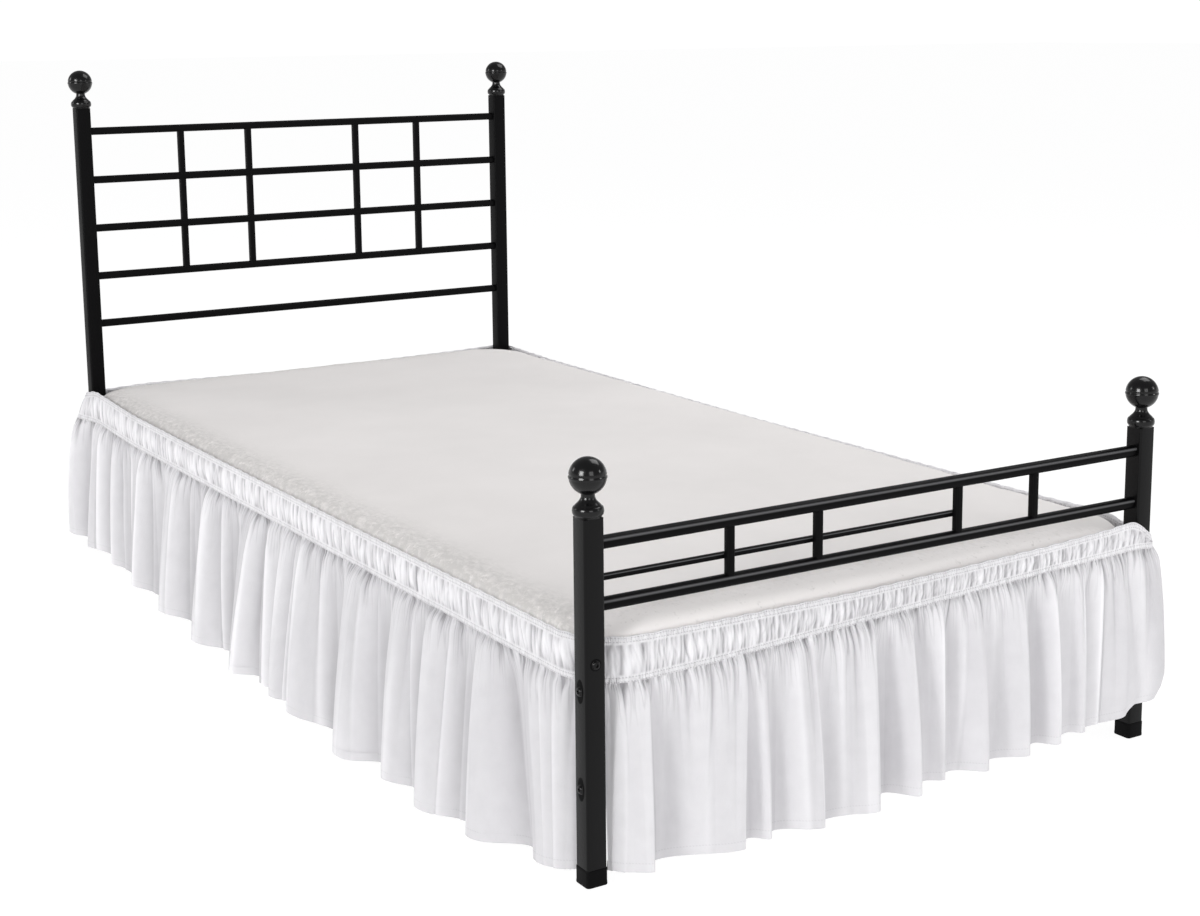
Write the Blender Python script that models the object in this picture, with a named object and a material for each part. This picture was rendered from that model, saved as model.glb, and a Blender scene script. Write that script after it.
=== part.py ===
"""A gathered bed skirt on its twin-size metal bed, as solids in metres.

The skirt is two cloth pieces: an elastic band, gathered fine, that hugs the box base, and a
ruffle sewn under it that falls in folds to the floor. The bed is plain black tube with ball
finials, and a covered box base that lies on slats.

X runs across the bed, +Y towards the head, Z up, with the origin on the floor at the middle of
the whole object's footprint. Cloth is worked out along the skirt's own line: the line starts
behind the foot-left post, runs up the left side, across the head, down the right side and back
along the foot.
"""

from collections import namedtuple

import bmesh
import bpy
import numpy as np
from mathutils import Matrix, Vector

# Driving dimensions, in metres.
POST_APART_X = 1.000
POST_APART_Y = 2.044
POST_WIDE = 0.029
POST_ROUND = 0.0025
FOOT_BALL_Z = 0.5535
HEAD_BALL_Z = 1.004
BALL_ABOVE_POST = 0.054
BALL_RADIUS = 0.025
CAP_TALL = 0.024
CAP_WIDE = 0.033

HEAD_RAIL_LOWEST = 0.489
HEAD_RAIL_STEP = 0.103
HEAD_RAIL_COUNT = 5
HEAD_RAIL_WIDE = 0.014
HEAD_UPRIGHTS_X = (-0.285, -0.130, 0.130, 0.285)
FOOT_RAILS_Z = (0.3805, 0.463)
FOOT_RAIL_WIDE = 0.0155
FOOT_UPRIGHTS_X = (-0.278, -0.128, 0.128, 0.278)
UPRIGHT_WIDE = 0.012
THIN_BAR_WIDE = 0.008
THIN_BAR_Z = 0.413

SIDE_RAIL_X = 0.483
SIDE_RAIL_WIDE = 0.024
SIDE_RAIL_TALL = 0.050
SIDE_RAIL_TOP = 0.155
SLAT_COUNT = 5
SLAT_STEP = 0.42
SLAT_WIDE = 0.060
SLAT_THICK = 0.015
SLAT_LONG = 0.980

BOX_TOP = 0.350
BOX_ROUND = 0.0827
BOX_EDGE = 0.016

BOLT_RADIUS = 0.0065
BOLT_PROUD = 0.0035
BOLTS_SIDE_Z = (0.268, 0.134)
BOLT_FOOT_Z = 0.3055

CLOTH_THICK = 0.002
TOUCH = 0.0003
OFF_POST = 0.006

# Sizes that follow from them.
HALF_X = POST_APART_X / 2
HALF_Y = POST_APART_Y / 2
HALF_POST = POST_WIDE / 2
POST_OUT_X = HALF_X + HALF_POST
POST_OUT_Y = HALF_Y + HALF_POST
POST_IN_X = HALF_X - HALF_POST
POST_IN_Y = HALF_Y - HALF_POST
HEAD_RAILS_Z = [HEAD_RAIL_LOWEST + HEAD_RAIL_STEP * i for i in range(HEAD_RAIL_COUNT)]

# The skirt's line in plan: its corners, as the point where the two sides would meet and the
# radius of the bend. The foot-left bend lies against the box base and passes inside its post,
# the other three pass outside theirs, each just touching the post's rounded corner.
CORNER_ROUND = 0.020
BOX_CENTRE_ARC = (0.419, 0.943)
LINE_ROUND = BOX_ROUND + CLOTH_THICK / 2 + TOUCH
FOOT_LEFT = (-BOX_CENTRE_ARC[0] - LINE_ROUND, -BOX_CENTRE_ARC[1] - LINE_ROUND, LINE_ROUND)
HEAD_LEFT = (-POST_OUT_X - OFF_POST, POST_OUT_Y + OFF_POST, CORNER_ROUND)
HEAD_RIGHT = (POST_OUT_X + OFF_POST, POST_OUT_Y + OFF_POST, CORNER_ROUND)
FOOT_RIGHT = (POST_OUT_X + OFF_POST, -POST_OUT_Y - OFF_POST, CORNER_ROUND)
CORNERS = (FOOT_LEFT, HEAD_LEFT, HEAD_RIGHT, FOOT_RIGHT)
BOX_HALF_X = BOX_CENTRE_ARC[0] + BOX_ROUND
BOX_HALF_Y = BOX_CENTRE_ARC[1] + BOX_ROUND
BOX_BOTTOM = SIDE_RAIL_TOP + SLAT_THICK + 2 * TOUCH

# Heights of the skirt around its line, in millimetres. "at" is the way along the side from
# the post it starts at: top edge of the band, seam under the band, and hem.
Height = namedtuple("Height", "side at top seam hem")
HEIGHTS = (
    Height("left", 0, 332, 269, 12),
    Height("left", 500, 333, 271, 8),
    Height("left", 1250, 335, 272, 8),
    Height("left", 1750, 340, 274, 10),
    Height("left", 1990, 352, 284, 20),
    Height("head", -14, 338, 286, 32),
    Height("head", 120, 344, 282, 20),
    Height("head", 500, 337, 276, 14),
    Height("head", 880, 342, 280, 18),
    Height("right", -14, 346, 284, 24),
    Height("right", 200, 340, 280, 16),
    Height("right", 1000, 336, 276, 12),
    Height("right", 1800, 340, 290, 30),
    Height("right", 1960, 344, 300, 46),
    Height("front", -15, 336, 308, 68),
    Height("front", 18, 350, 309, 60),
    Height("front", 70, 348, 308, 50),
    Height("front", 200, 345, 304, 44),
    Height("front", 350, 339, 296, 35),
    Height("front", 560, 332, 285, 26),
    Height("front", 800, 331, 272, 20),
    Height("front", 1000, 332, 267, 18),
)

# The ruffle's folds in millimetres, one row each in the order of the line. "crest" and "valley"
# are the ways along the side, and the "out" values say how far the hem stands off the line.
Fold = namedtuple("Fold", "crest crest_out valley valley_out")
LEFT_END = (19, 34)
LEFT_FOLDS = (
    Fold(77, 30, 118, 10),
    Fold(202, 67, 240, 42),
    Fold(332, 80, 382, 42),
    Fold(462, 71, 507, 38),
    Fold(587, 89, 672, 42),
    Fold(807, 75, 847, 49),
    Fold(897, 68, 927, 48),
    Fold(967, 58, 997, 44),
    Fold(1052, 77, 1142, 30),
    Fold(1257, 69, 1345, 26),
    Fold(1467, 57, 1562, 20),
    Fold(1667, 42, 1760, 14),
    Fold(1832, 28, 1892, 8),
    Fold(1972, 34, 2020, 14),
)
HEAD_FOLDS = (
    Fold(95, 46, 150, 16),
    Fold(215, 52, 262, 20),
    Fold(320, 40, 372, 10),
    Fold(440, 50, 495, 22),
    Fold(560, 56, 620, 14),
    Fold(690, 44, 738, 18),
    Fold(800, 50, 850, 14),
    Fold(908, 40, 965, 12),
)
RIGHT_FOLDS = (
    Fold(70, 40, 128, 14),
    Fold(196, 56, 262, 24),
    Fold(338, 66, 402, 30),
    Fold(470, 60, 520, 34),
    Fold(600, 74, 678, 38),
    Fold(760, 64, 812, 40),
    Fold(872, 72, 940, 36),
    Fold(1030, 76, 1104, 34),
    Fold(1186, 62, 1240, 38),
    Fold(1306, 70, 1380, 32),
    Fold(1462, 58, 1524, 28),
    Fold(1600, 64, 1668, 22),
    Fold(1742, 46, 1800, 18),
    Fold(1872, 40, 1936, 12),
)
FRONT_FOLDS = (
    Fold(56, 16, 117, 3),
    Fold(144, 18, 163, 3),
    Fold(208, 28, 231, 3),
    Fold(270, 32, 323, 6),
    Fold(353, 36, 400, 3),
    Fold(424, 22, 450, 8),
    Fold(488, 46, 524, 5),
    Fold(570, 52, 642, 28),
    Fold(665, 52, 725, 18),
    Fold(746, 38, 770, 18),
    Fold(794, 45, 888, 1),
)
FRONT_END_CREST = (920, 22)
FRONT_END_TURN = (955, 22)
FRONT_END = (980, 18)
CORNER_OUT = (58, 44, 30)
RUFFLE_ROWS = (0.0, 0.30, 0.65, 1.0)
RUFFLE_OFF_LINE = 0.0012
STEPS_PER_HALF_FOLD = 4
BEND_STEPS = 24


# ---------------------------------------------------------------- plain pieces

def material(name, colour, roughness, metallic=0.0):
    """A piece's own Principled material."""
    mat = bpy.data.materials.new(name)
    mat.use_nodes = True
    shader = mat.node_tree.nodes["Principled BSDF"]
    shader.inputs["Base Color"].default_value = (*colour, 1.0)
    shader.inputs["Roughness"].default_value = roughness
    shader.inputs["Metallic"].default_value = metallic
    mat.diffuse_color = (*colour, 1.0)
    return mat


def black_paint(name):
    return material(name + "_paint", (0.02, 0.02, 0.022), 0.35)


def add_object(name, mesh, mat, parent, location=(0, 0, 0)):
    mesh.materials.append(mat)
    piece = bpy.data.objects.new(name, mesh)
    piece.location = location
    piece.parent = parent
    bpy.context.scene.collection.objects.link(piece)
    return piece


def mesh_of(bm, name):
    mesh = bpy.data.meshes.new(name)
    bm.to_mesh(mesh)
    bm.free()
    return mesh


def bar(name, low, high, parent, rounding=0.0, mat=None):
    """A straight tube or board between two corners, its long edges rounded by a Bevel."""
    low, high = Vector(low), Vector(high)
    bm = bmesh.new()
    bmesh.ops.create_cube(bm, size=1.0)
    bmesh.ops.scale(bm, vec=high - low, verts=bm.verts)
    piece = add_object(name, mesh_of(bm, name), mat or black_paint(name), parent, (low + high) / 2)
    if rounding:
        bevel = piece.modifiers.new("rounded_edges", "BEVEL")
        bevel.width = rounding
        bevel.segments = 2
        bevel.limit_method = "NONE"
    return piece


def turned(name, profile, location, parent, mat, steps=20, tilt=None):
    """A solid of revolution: the profile's (radius, height) points spun about Z."""
    bm = bmesh.new()
    points = [bm.verts.new((radius, 0.0, height)) for radius, height in profile]
    edges = [bm.edges.new(pair) for pair in zip(points, points[1:])]
    bmesh.ops.spin(bm, geom=points + edges, axis=(0, 0, 1), cent=(0, 0, 0),
                   angle=2 * np.pi, steps=steps, use_duplicate=False)
    bmesh.ops.remove_doubles(bm, verts=bm.verts, dist=1e-6)
    bmesh.ops.recalc_face_normals(bm, faces=bm.faces)
    if tilt:
        bmesh.ops.transform(bm, matrix=tilt, verts=bm.verts)
    mesh = mesh_of(bm, name)
    mesh.shade_smooth()
    return add_object(name, mesh, mat, parent, location)


def finial_profile():
    """The ball over a waisted neck and a ringed collar, from the axis up and back to it."""
    neck_radius, neck_height = 0.009, 0.0265
    collar = [(0.0, TOUCH), (0.0150, TOUCH), (0.0190, 0.0030), (0.0208, 0.0070), (0.0200, 0.0110),
              (0.0165, 0.0140), (0.0170, 0.0165), (0.0150, 0.0190), (0.0105, 0.0225)]
    start = np.arcsin(neck_radius / BALL_RADIUS)
    angles = np.linspace(start, np.pi, 11)
    ball = [(BALL_RADIUS * np.sin(a), BALL_ABOVE_POST - BALL_RADIUS * np.cos(a)) for a in angles]
    ball[-1] = (0.0, BALL_ABOVE_POST + BALL_RADIUS)
    return collar + [(neck_radius, neck_height)] + ball


def posts(parent):
    """Four square posts, each with a plastic cap under it and a ball finial on it."""
    for end, sign_y, ball_z in (("foot", -1, FOOT_BALL_Z), ("head", 1, HEAD_BALL_Z)):
        top = ball_z - BALL_ABOVE_POST
        for side, sign_x in (("left", -1), ("right", 1)):
            where = f"{end}_{side}"
            x, y = sign_x * HALF_X, sign_y * HALF_Y
            bar(f"post_{where}", (x - HALF_POST, y - HALF_POST, CAP_TALL + TOUCH),
                (x + HALF_POST, y + HALF_POST, top), parent, POST_ROUND)
            bar(f"foot_cap_{where}", (x - CAP_WIDE / 2, y - CAP_WIDE / 2, 0.0),
                (x + CAP_WIDE / 2, y + CAP_WIDE / 2, CAP_TALL), parent, POST_ROUND,
                material(f"cap_{where}", (0.025, 0.025, 0.025), 0.6))
            turned(f"finial_{where}", finial_profile(), (x, y, top), parent,
                   black_paint(f"finial_{where}"))


def rails(name, rails_z, wide, y, parent):
    """Rails across one end of the bed, from post to post."""
    reach = POST_IN_X - TOUCH
    for number, z in enumerate(rails_z, 1):
        bar(f"{name}_rail_{number}", (-reach, y - wide / 2, z - wide / 2),
            (reach, y + wide / 2, z + wide / 2), parent, 0.0015)


def uprights(name, rails_z, rail_wide, places, y, parent):
    """Short bars between each rail and the next one up."""
    for number, x in enumerate(places, 1):
        for gap, (below, above) in enumerate(zip(rails_z, rails_z[1:]), 1):
            half = UPRIGHT_WIDE / 2
            bar(f"{name}_upright_{number}_{gap}",
                (x - half, y - half, below + rail_wide / 2 + TOUCH),
                (x + half, y + half, above - rail_wide / 2 - TOUCH), parent)


def headboard(parent):
    rails("head", HEAD_RAILS_Z, HEAD_RAIL_WIDE, HALF_Y, parent)
    uprights("head", HEAD_RAILS_Z[1:], HEAD_RAIL_WIDE, HEAD_UPRIGHTS_X, HALF_Y, parent)


def footboard(parent):
    """Two rails with four uprights, and a thin bar behind them as far as the third upright."""
    rails("foot", FOOT_RAILS_Z, FOOT_RAIL_WIDE, -HALF_Y, parent)
    uprights("foot", FOOT_RAILS_Z, FOOT_RAIL_WIDE, FOOT_UPRIGHTS_X, -HALF_Y, parent)
    near = -HALF_Y + UPRIGHT_WIDE / 2 + TOUCH
    half = THIN_BAR_WIDE / 2
    bar("foot_thin_bar", (-POST_IN_X + TOUCH, near, THIN_BAR_Z - half),
        (FOOT_UPRIGHTS_X[2] + UPRIGHT_WIDE / 2, near + THIN_BAR_WIDE, THIN_BAR_Z + half), parent)


def side_rails_and_slats(parent):
    for side, sign in (("left", -1), ("right", 1)):
        x = sign * SIDE_RAIL_X
        half = SIDE_RAIL_WIDE / 2
        bar(f"side_rail_{side}", (x - half, -POST_IN_Y + TOUCH, SIDE_RAIL_TOP - SIDE_RAIL_TALL),
            (x + half, POST_IN_Y - TOUCH, SIDE_RAIL_TOP), parent)
    low = SIDE_RAIL_TOP + TOUCH
    for number in range(SLAT_COUNT):
        y = (number - (SLAT_COUNT - 1) / 2) * SLAT_STEP
        bar(f"slat_{number + 1}", (-SLAT_LONG / 2, y - SLAT_WIDE / 2, low),
            (SLAT_LONG / 2, y + SLAT_WIDE / 2, low + SLAT_THICK), parent)


def bolts(parent):
    """Domed bolt heads: two on the side of the foot-left post and one on its foot face."""
    dome = [(0.0, BOLT_PROUD)]
    dome += [(BOLT_RADIUS * np.sin(a), BOLT_PROUD * np.cos(a)) for a in (0.5, 0.95, 1.3)]
    dome += [(BOLT_RADIUS, TOUCH), (0.0, TOUCH)]
    to_left = Matrix.Rotation(-np.pi / 2, 4, "Y")
    to_foot = Matrix.Rotation(np.pi / 2, 4, "X")
    for number, z in enumerate(BOLTS_SIDE_Z, 1):
        name = f"bolt_side_{number}"
        turned(name, dome, (-POST_OUT_X, -HALF_Y, z), parent, black_paint(name), 14, to_left)
    turned("bolt_foot", dome, (-HALF_X, -POST_OUT_Y, BOLT_FOOT_Z), parent,
           black_paint("bolt_foot"), 14, to_foot)


def box_base(parent):
    """The covered box base: a slab with rounded corners in plan and softened edges."""
    outline = []
    for corner, (sign_x, sign_y) in enumerate(((-1, -1), (1, -1), (1, 1), (-1, 1))):
        for angle in np.pi + np.pi / 2 * (corner + np.linspace(0, 1, 9)):
            outline.append((sign_x * BOX_CENTRE_ARC[0] + BOX_ROUND * np.cos(angle),
                            sign_y * BOX_CENTRE_ARC[1] + BOX_ROUND * np.sin(angle)))
    bm = bmesh.new()
    base = bm.faces.new([bm.verts.new((x, y, BOX_BOTTOM)) for x, y in outline])
    raised = bmesh.ops.extrude_face_region(bm, geom=[base])
    top = [item for item in raised["geom"] if isinstance(item, bmesh.types.BMVert)]
    bmesh.ops.translate(bm, vec=(0, 0, BOX_TOP - BOX_BOTTOM), verts=top)
    bmesh.ops.recalc_face_normals(bm, faces=bm.faces)
    piece = add_object("box_base", mesh_of(bm, "box_base"),
                       material("box_cover", (0.72, 0.70, 0.69), 0.9), parent)
    bevel = piece.modifiers.new("soft_edges", "BEVEL")
    bevel.width = BOX_EDGE
    bevel.segments = 3
    bevel.limit_method = "ANGLE"
    bevel.angle_limit = np.radians(60)


# ---------------------------------------------------------------- cloth

def skirt_line():
    """The skirt's line in plan, clockwise seen from above: points, ways along it and the four
    sides' spans. Each corner is an arc that is tangent to the two sides that meet there."""
    corners = [np.array(corner[:2]) for corner in CORNERS]
    points, bends = [], []
    for i, (here, (_, _, radius)) in enumerate(zip(corners, CORNERS)):
        back = corners[i - 1] - here
        ahead = corners[(i + 1) % 4] - here
        back, ahead = back / np.linalg.norm(back), ahead / np.linalg.norm(ahead)
        half = np.arccos(np.clip(back @ ahead, -1, 1)) / 2
        middle = (back + ahead) / np.linalg.norm(back + ahead)
        centre = here + middle * radius / np.sin(half)
        start = here + back * radius / np.tan(half) - centre
        angle = np.arctan2(start[1], start[0]) - np.linspace(0, np.pi - 2 * half, BEND_STEPS + 1)
        arc = centre + radius * np.stack([np.cos(angle), np.sin(angle)], axis=1)
        bends.append((len(points), len(points) + BEND_STEPS))
        points.extend(arc)
    points = np.array(points + [points[0]])
    way = np.concatenate([[0.0], np.cumsum(np.linalg.norm(np.diff(points, axis=0), axis=1))])
    spans = {}
    for i, side in enumerate(("left", "head", "right", "front")):
        spans[side] = (bends[i], bends[(i + 1) % 4] if i < 3 else (len(points) - 1, None))
    return points, way, spans


POINTS, WAY, SPANS = skirt_line()
LOOP = WAY[-1]


def way_at(side, at_mm):
    """The way along the whole line of a place given in millimetres from a side's first post.

    Left and right sides are read by Y, head and front by X, up to the middle of each bend.
    """
    start_bend, end_bend = SPANS[side]
    first = (start_bend[0] + start_bend[1]) // 2
    last = end_bend[0] if end_bend[1] is None else (end_bend[0] + end_bend[1]) // 2
    axis = 1 if side in ("left", "right") else 0
    begin = -HALF_Y if side == "left" else -HALF_X if side == "head" else None
    begin = HALF_Y if side == "right" else HALF_X if side == "front" else begin
    sign = 1 if side in ("left", "head") else -1
    place = (POINTS[first:last + 1, axis] - begin) * sign
    if end_bend[1] is None:
        place = np.append(place, (POINTS[:13, axis] - begin) * sign)
        ways = np.append(WAY[first:last + 1], LOOP + WAY[:13])
    else:
        ways = WAY[first:last + 1]
    return np.interp(at_mm / 1000, place, ways)


def on_line(way):
    """Points of the line at the given ways along it."""
    way = np.mod(way, LOOP)
    return np.stack([np.interp(way, WAY, POINTS[:, 0]), np.interp(way, WAY, POINTS[:, 1])], axis=1)


def outward(way):
    """Outward unit direction: square to each side, turning only within the three far bends."""
    turns = [(0.0, 180.0)]
    for side, angle in (("head", 180.0), ("right", 90.0), ("front", 0.0)):
        first, last = SPANS[side][0]
        turns += [(WAY[first], angle), (WAY[last], angle - 90.0)]
    at, degrees = zip(*turns)
    angle = np.radians(np.interp(way, at, degrees))
    return np.stack([np.cos(angle), np.sin(angle)], axis=1)


HEIGHT_WAYS = np.array([way_at(row.side, row.at) for row in HEIGHTS])


def heights_at(way):
    """Top, seam and hem heights in metres at the given ways, straight between HEIGHTS rows."""
    table = np.array([(row.top, row.seam, row.hem) for row in HEIGHTS]) / 1000
    return [np.interp(way, HEIGHT_WAYS, table[:, i], period=LOOP) for i in range(3)]


def shell(name, grid, closed, mat, parent):
    """A sheet CLOTH_THICK thick around a grid of middle points, as one closed solid.

    grid[i, j] runs along the cloth in i and down it in j. The two faces lie half a thickness
    off the grid along its normals; a closed grid joins its last column to its first.
    """
    if closed:
        along = np.roll(grid, -1, axis=0) - np.roll(grid, 1, axis=0)
    else:
        along = np.gradient(grid, axis=0)
    down = np.gradient(grid, axis=1)
    normal = np.cross(down, along)
    normal /= np.linalg.norm(normal, axis=2, keepdims=True)
    normal[:, (0, -1), 2] = 0.0
    columns, rows = grid.shape[:2]
    faces_xyz = [grid + normal * CLOTH_THICK / 2, grid - normal * CLOTH_THICK / 2]
    vertices = np.concatenate([side.reshape(-1, 3) for side in faces_xyz])
    inner = columns * rows
    faces = []
    for i in range(columns if closed else columns - 1):
        a, b = i * rows, (i + 1) % columns * rows
        for j in range(rows - 1):
            faces.append((a + j, a + j + 1, b + j + 1, b + j))
            faces.append((inner + a + j, inner + b + j, inner + b + j + 1, inner + a + j + 1))
        faces.append((a, b, inner + b, inner + a))
        last = rows - 1
        faces.append((a + last, inner + a + last, inner + b + last, b + last))
    if not closed:
        end = (columns - 1) * rows
        for j in range(rows - 1):
            faces.append((j, inner + j, inner + j + 1, j + 1))
            faces.append((end + j, end + j + 1, inner + end + j + 1, inner + end + j))
    mesh = bpy.data.meshes.new(name)
    mesh.from_pydata(vertices.tolist(), [], faces)
    mesh.shade_smooth()
    return add_object(name, mesh, mat, parent)


def skirt_band(parent):
    """The elastic band: a closed ring from its top edge to the seam, a little fuller between."""
    ways = []
    bends = [SPANS[side][0] for side in ("left", "head", "right", "front")]
    for i, (first, last) in enumerate(bends):
        ways.extend(np.linspace(WAY[first], WAY[last], 7)[:-1])
        until = WAY[bends[i + 1][0]] if i < 3 else LOOP
        ways.extend(np.linspace(WAY[last], until, 15 if i % 2 == 0 else 9)[:-1])
    ways = np.unique(np.append(ways, np.mod(HEIGHT_WAYS, LOOP)))
    line = on_line(ways)
    tangent = on_line(ways + 0.002) - on_line(ways - 0.002)
    tangent /= np.linalg.norm(tangent, axis=1, keepdims=True)
    out = np.stack([-tangent[:, 1], tangent[:, 0]], axis=1)
    top, seam, _ = heights_at(ways)
    grid = np.empty((len(ways), 3, 3))
    for row, (down, fuller) in enumerate(((0.0, 0.0), (0.55, 0.0015), (1.0, 0.0))):
        grid[:, row, :2] = line + out * fuller
        grid[:, row, 2] = top + (seam + TOUCH - top) * down
    shell("skirt_band", grid, True, material("band_cloth", (0.80, 0.79, 0.82), 0.85), parent)


def fold_points():
    """Ways and outward reach of every crest and valley, in metres, from end to end."""
    rows = [(way_at("left", LEFT_END[0]), LEFT_END[1])]
    sides = (("left", LEFT_FOLDS), ("head", HEAD_FOLDS), ("right", RIGHT_FOLDS),
             ("front", FRONT_FOLDS))
    for side, folds in sides:
        for fold in folds:
            rows.append((way_at(side, fold.crest), fold.crest_out))
            rows.append((way_at(side, fold.valley), fold.valley_out))
    for side, out in zip(("head", "right", "front"), CORNER_OUT):
        first, last = SPANS[side][0]
        rows.append(((WAY[first] + WAY[last]) / 2, out))
        rows.append((WAY[last] + 0.022, out * 0.35))
    for at, out in (FRONT_END_CREST, FRONT_END_TURN, FRONT_END):
        rows.append((way_at("front", at), out))
    rows = np.array(sorted(rows))
    return rows[:, 0], rows[:, 1] / 1000


def hem_reach(ways):
    """How far the hem stands off the line, and the mean of that, at the given ways.

    From each crest to the next valley the reach eases by 3u^2 - 2u^3.
    """
    knots, reach = fold_points()
    here = np.clip(np.searchsorted(knots, ways, side="right") - 1, 0, len(knots) - 2)
    u = (ways - knots[here]) / (knots[here + 1] - knots[here])
    at_hem = reach[here] + (reach[here + 1] - reach[here]) * u**2 * (3 - 2 * u)
    mean = np.interp(ways, (knots[1:] + knots[:-1]) / 2, (reach[1:] + reach[:-1]) / 2)
    return at_hem, mean


def ruffle_grid(rows):
    """Middle points of the ruffle.

    The mean reach opens quickly under the seam, as 1 - (1 - t)^2.6 of the drop t, and the
    folds deepen steadily, as t^0.75.
    """
    knots, _ = fold_points()
    ease = np.linspace(0, 1, STEPS_PER_HALF_FOLD + 1)[:-1]
    ways = (knots[:-1, None] + np.diff(knots)[:, None] * ease).ravel()
    inside = HEIGHT_WAYS[(HEIGHT_WAYS > knots[0]) & (HEIGHT_WAYS < knots[-1])]
    ways = np.unique(np.concatenate([ways, inside, knots[-1:]]))
    at_hem, mean = hem_reach(ways)
    line, out = on_line(ways), outward(ways)
    _, seam, hem = heights_at(ways)
    grid = np.empty((len(ways), len(rows), 3))
    for j, t in enumerate(rows):
        stand = RUFFLE_OFF_LINE + mean * (1 - (1 - t)**2.6) + (at_hem - mean) * t**0.75
        grid[:, j, :2] = line + out * stand[:, None]
        grid[:, j, 2] = seam + (hem - seam) * t
    return grid


def skirt_ruffle(parent):
    """The ruffle: one strip whose two ends meet behind the foot-left post."""
    shell("skirt_ruffle", ruffle_grid(RUFFLE_ROWS), False,
          material("ruffle_cloth", (0.82, 0.81, 0.84), 0.85), parent)


# ---------------------------------------------------------------- the whole object

def middle_of_footprint():
    """How far the middle of all pieces' box is from X = Y = 0."""
    bpy.context.view_layer.update()
    graph = bpy.context.evaluated_depsgraph_get()
    corners = []
    for piece in bpy.context.scene.objects:
        if piece.type == "MESH":
            solid = piece.evaluated_get(graph)
            corners += [solid.matrix_world @ Vector(corner) for corner in solid.bound_box]
    corners = np.array(corners)
    return (corners.min(axis=0) + corners.max(axis=0)) / 2


def main():
    for old in list(bpy.data.objects):
        bpy.data.objects.remove(old, do_unlink=True)
    bed = bpy.data.objects.new("bed", None)
    bpy.context.scene.collection.objects.link(bed)
    posts(bed)
    headboard(bed)
    footboard(bed)
    side_rails_and_slats(bed)
    bolts(bed)
    box_base(bed)
    skirt_band(bed)
    skirt_ruffle(bed)
    middle = middle_of_footprint()
    bed.location = (-middle[0], -middle[1], 0.0)
    bpy.context.view_layer.update()


main()
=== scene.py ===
"""The looks of a gathered bed skirt on its metal bed.

The skirt's band and ruffle are surfaces worked out along the skirt's line in plan, which starts
behind the foot-left post and runs up the left side, across the head, down the right side and
back along the foot. Everything is in metres, measured from the middle of the four posts, and
moved to the frame's own place when it becomes a mesh.
"""

from collections import namedtuple

import bpy
import numpy as np
from mathutils import Matrix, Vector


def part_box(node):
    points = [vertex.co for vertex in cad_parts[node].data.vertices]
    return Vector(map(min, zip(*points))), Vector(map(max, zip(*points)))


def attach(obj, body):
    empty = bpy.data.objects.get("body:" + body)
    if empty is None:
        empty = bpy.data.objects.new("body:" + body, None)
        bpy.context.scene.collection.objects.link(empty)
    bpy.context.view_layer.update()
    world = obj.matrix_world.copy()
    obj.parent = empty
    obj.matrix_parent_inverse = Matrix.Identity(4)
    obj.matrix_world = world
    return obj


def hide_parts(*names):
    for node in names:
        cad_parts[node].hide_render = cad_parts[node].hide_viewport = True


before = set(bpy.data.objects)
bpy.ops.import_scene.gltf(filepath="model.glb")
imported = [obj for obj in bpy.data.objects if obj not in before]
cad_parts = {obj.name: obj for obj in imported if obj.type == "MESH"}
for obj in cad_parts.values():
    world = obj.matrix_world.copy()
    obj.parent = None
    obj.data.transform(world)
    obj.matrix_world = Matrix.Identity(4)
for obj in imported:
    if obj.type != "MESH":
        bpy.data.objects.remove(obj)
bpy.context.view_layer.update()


def middle(node):
    """The middle of a node's box."""
    low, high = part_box(node)
    return (np.array(low) + np.array(high)) / 2


ENDS = ("foot_left", "foot_right", "head_left", "head_right")
BED = np.mean([middle(f"post_{end}") for end in ENDS], axis=0) * (1, 1, 0)


# ---------------------------------------------------------------- meshes

def add_piece(name, mesh, finish, *nodes):
    """Links a piece, gives it its finish and lets it stand for the frame's nodes."""
    piece = bpy.data.objects.new(name, mesh)
    bpy.context.scene.collection.objects.link(piece)
    mesh.materials.append(finish.material)
    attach(piece, "root")
    if nodes:
        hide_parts(*nodes)
    return piece


def quads_of(columns, rows, closed_columns):
    """Corner numbers of the quads between neighbours on a grid, wound along x down."""
    i = np.arange(columns if closed_columns else columns - 1)[:, None]
    j = np.arange(rows - 1)[None, :]
    a, b = i * rows, (i + 1) % columns * rows
    return np.stack([a + j, b + j, b + j + 1, a + j + 1], axis=-1).reshape(-1, 4)


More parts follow.
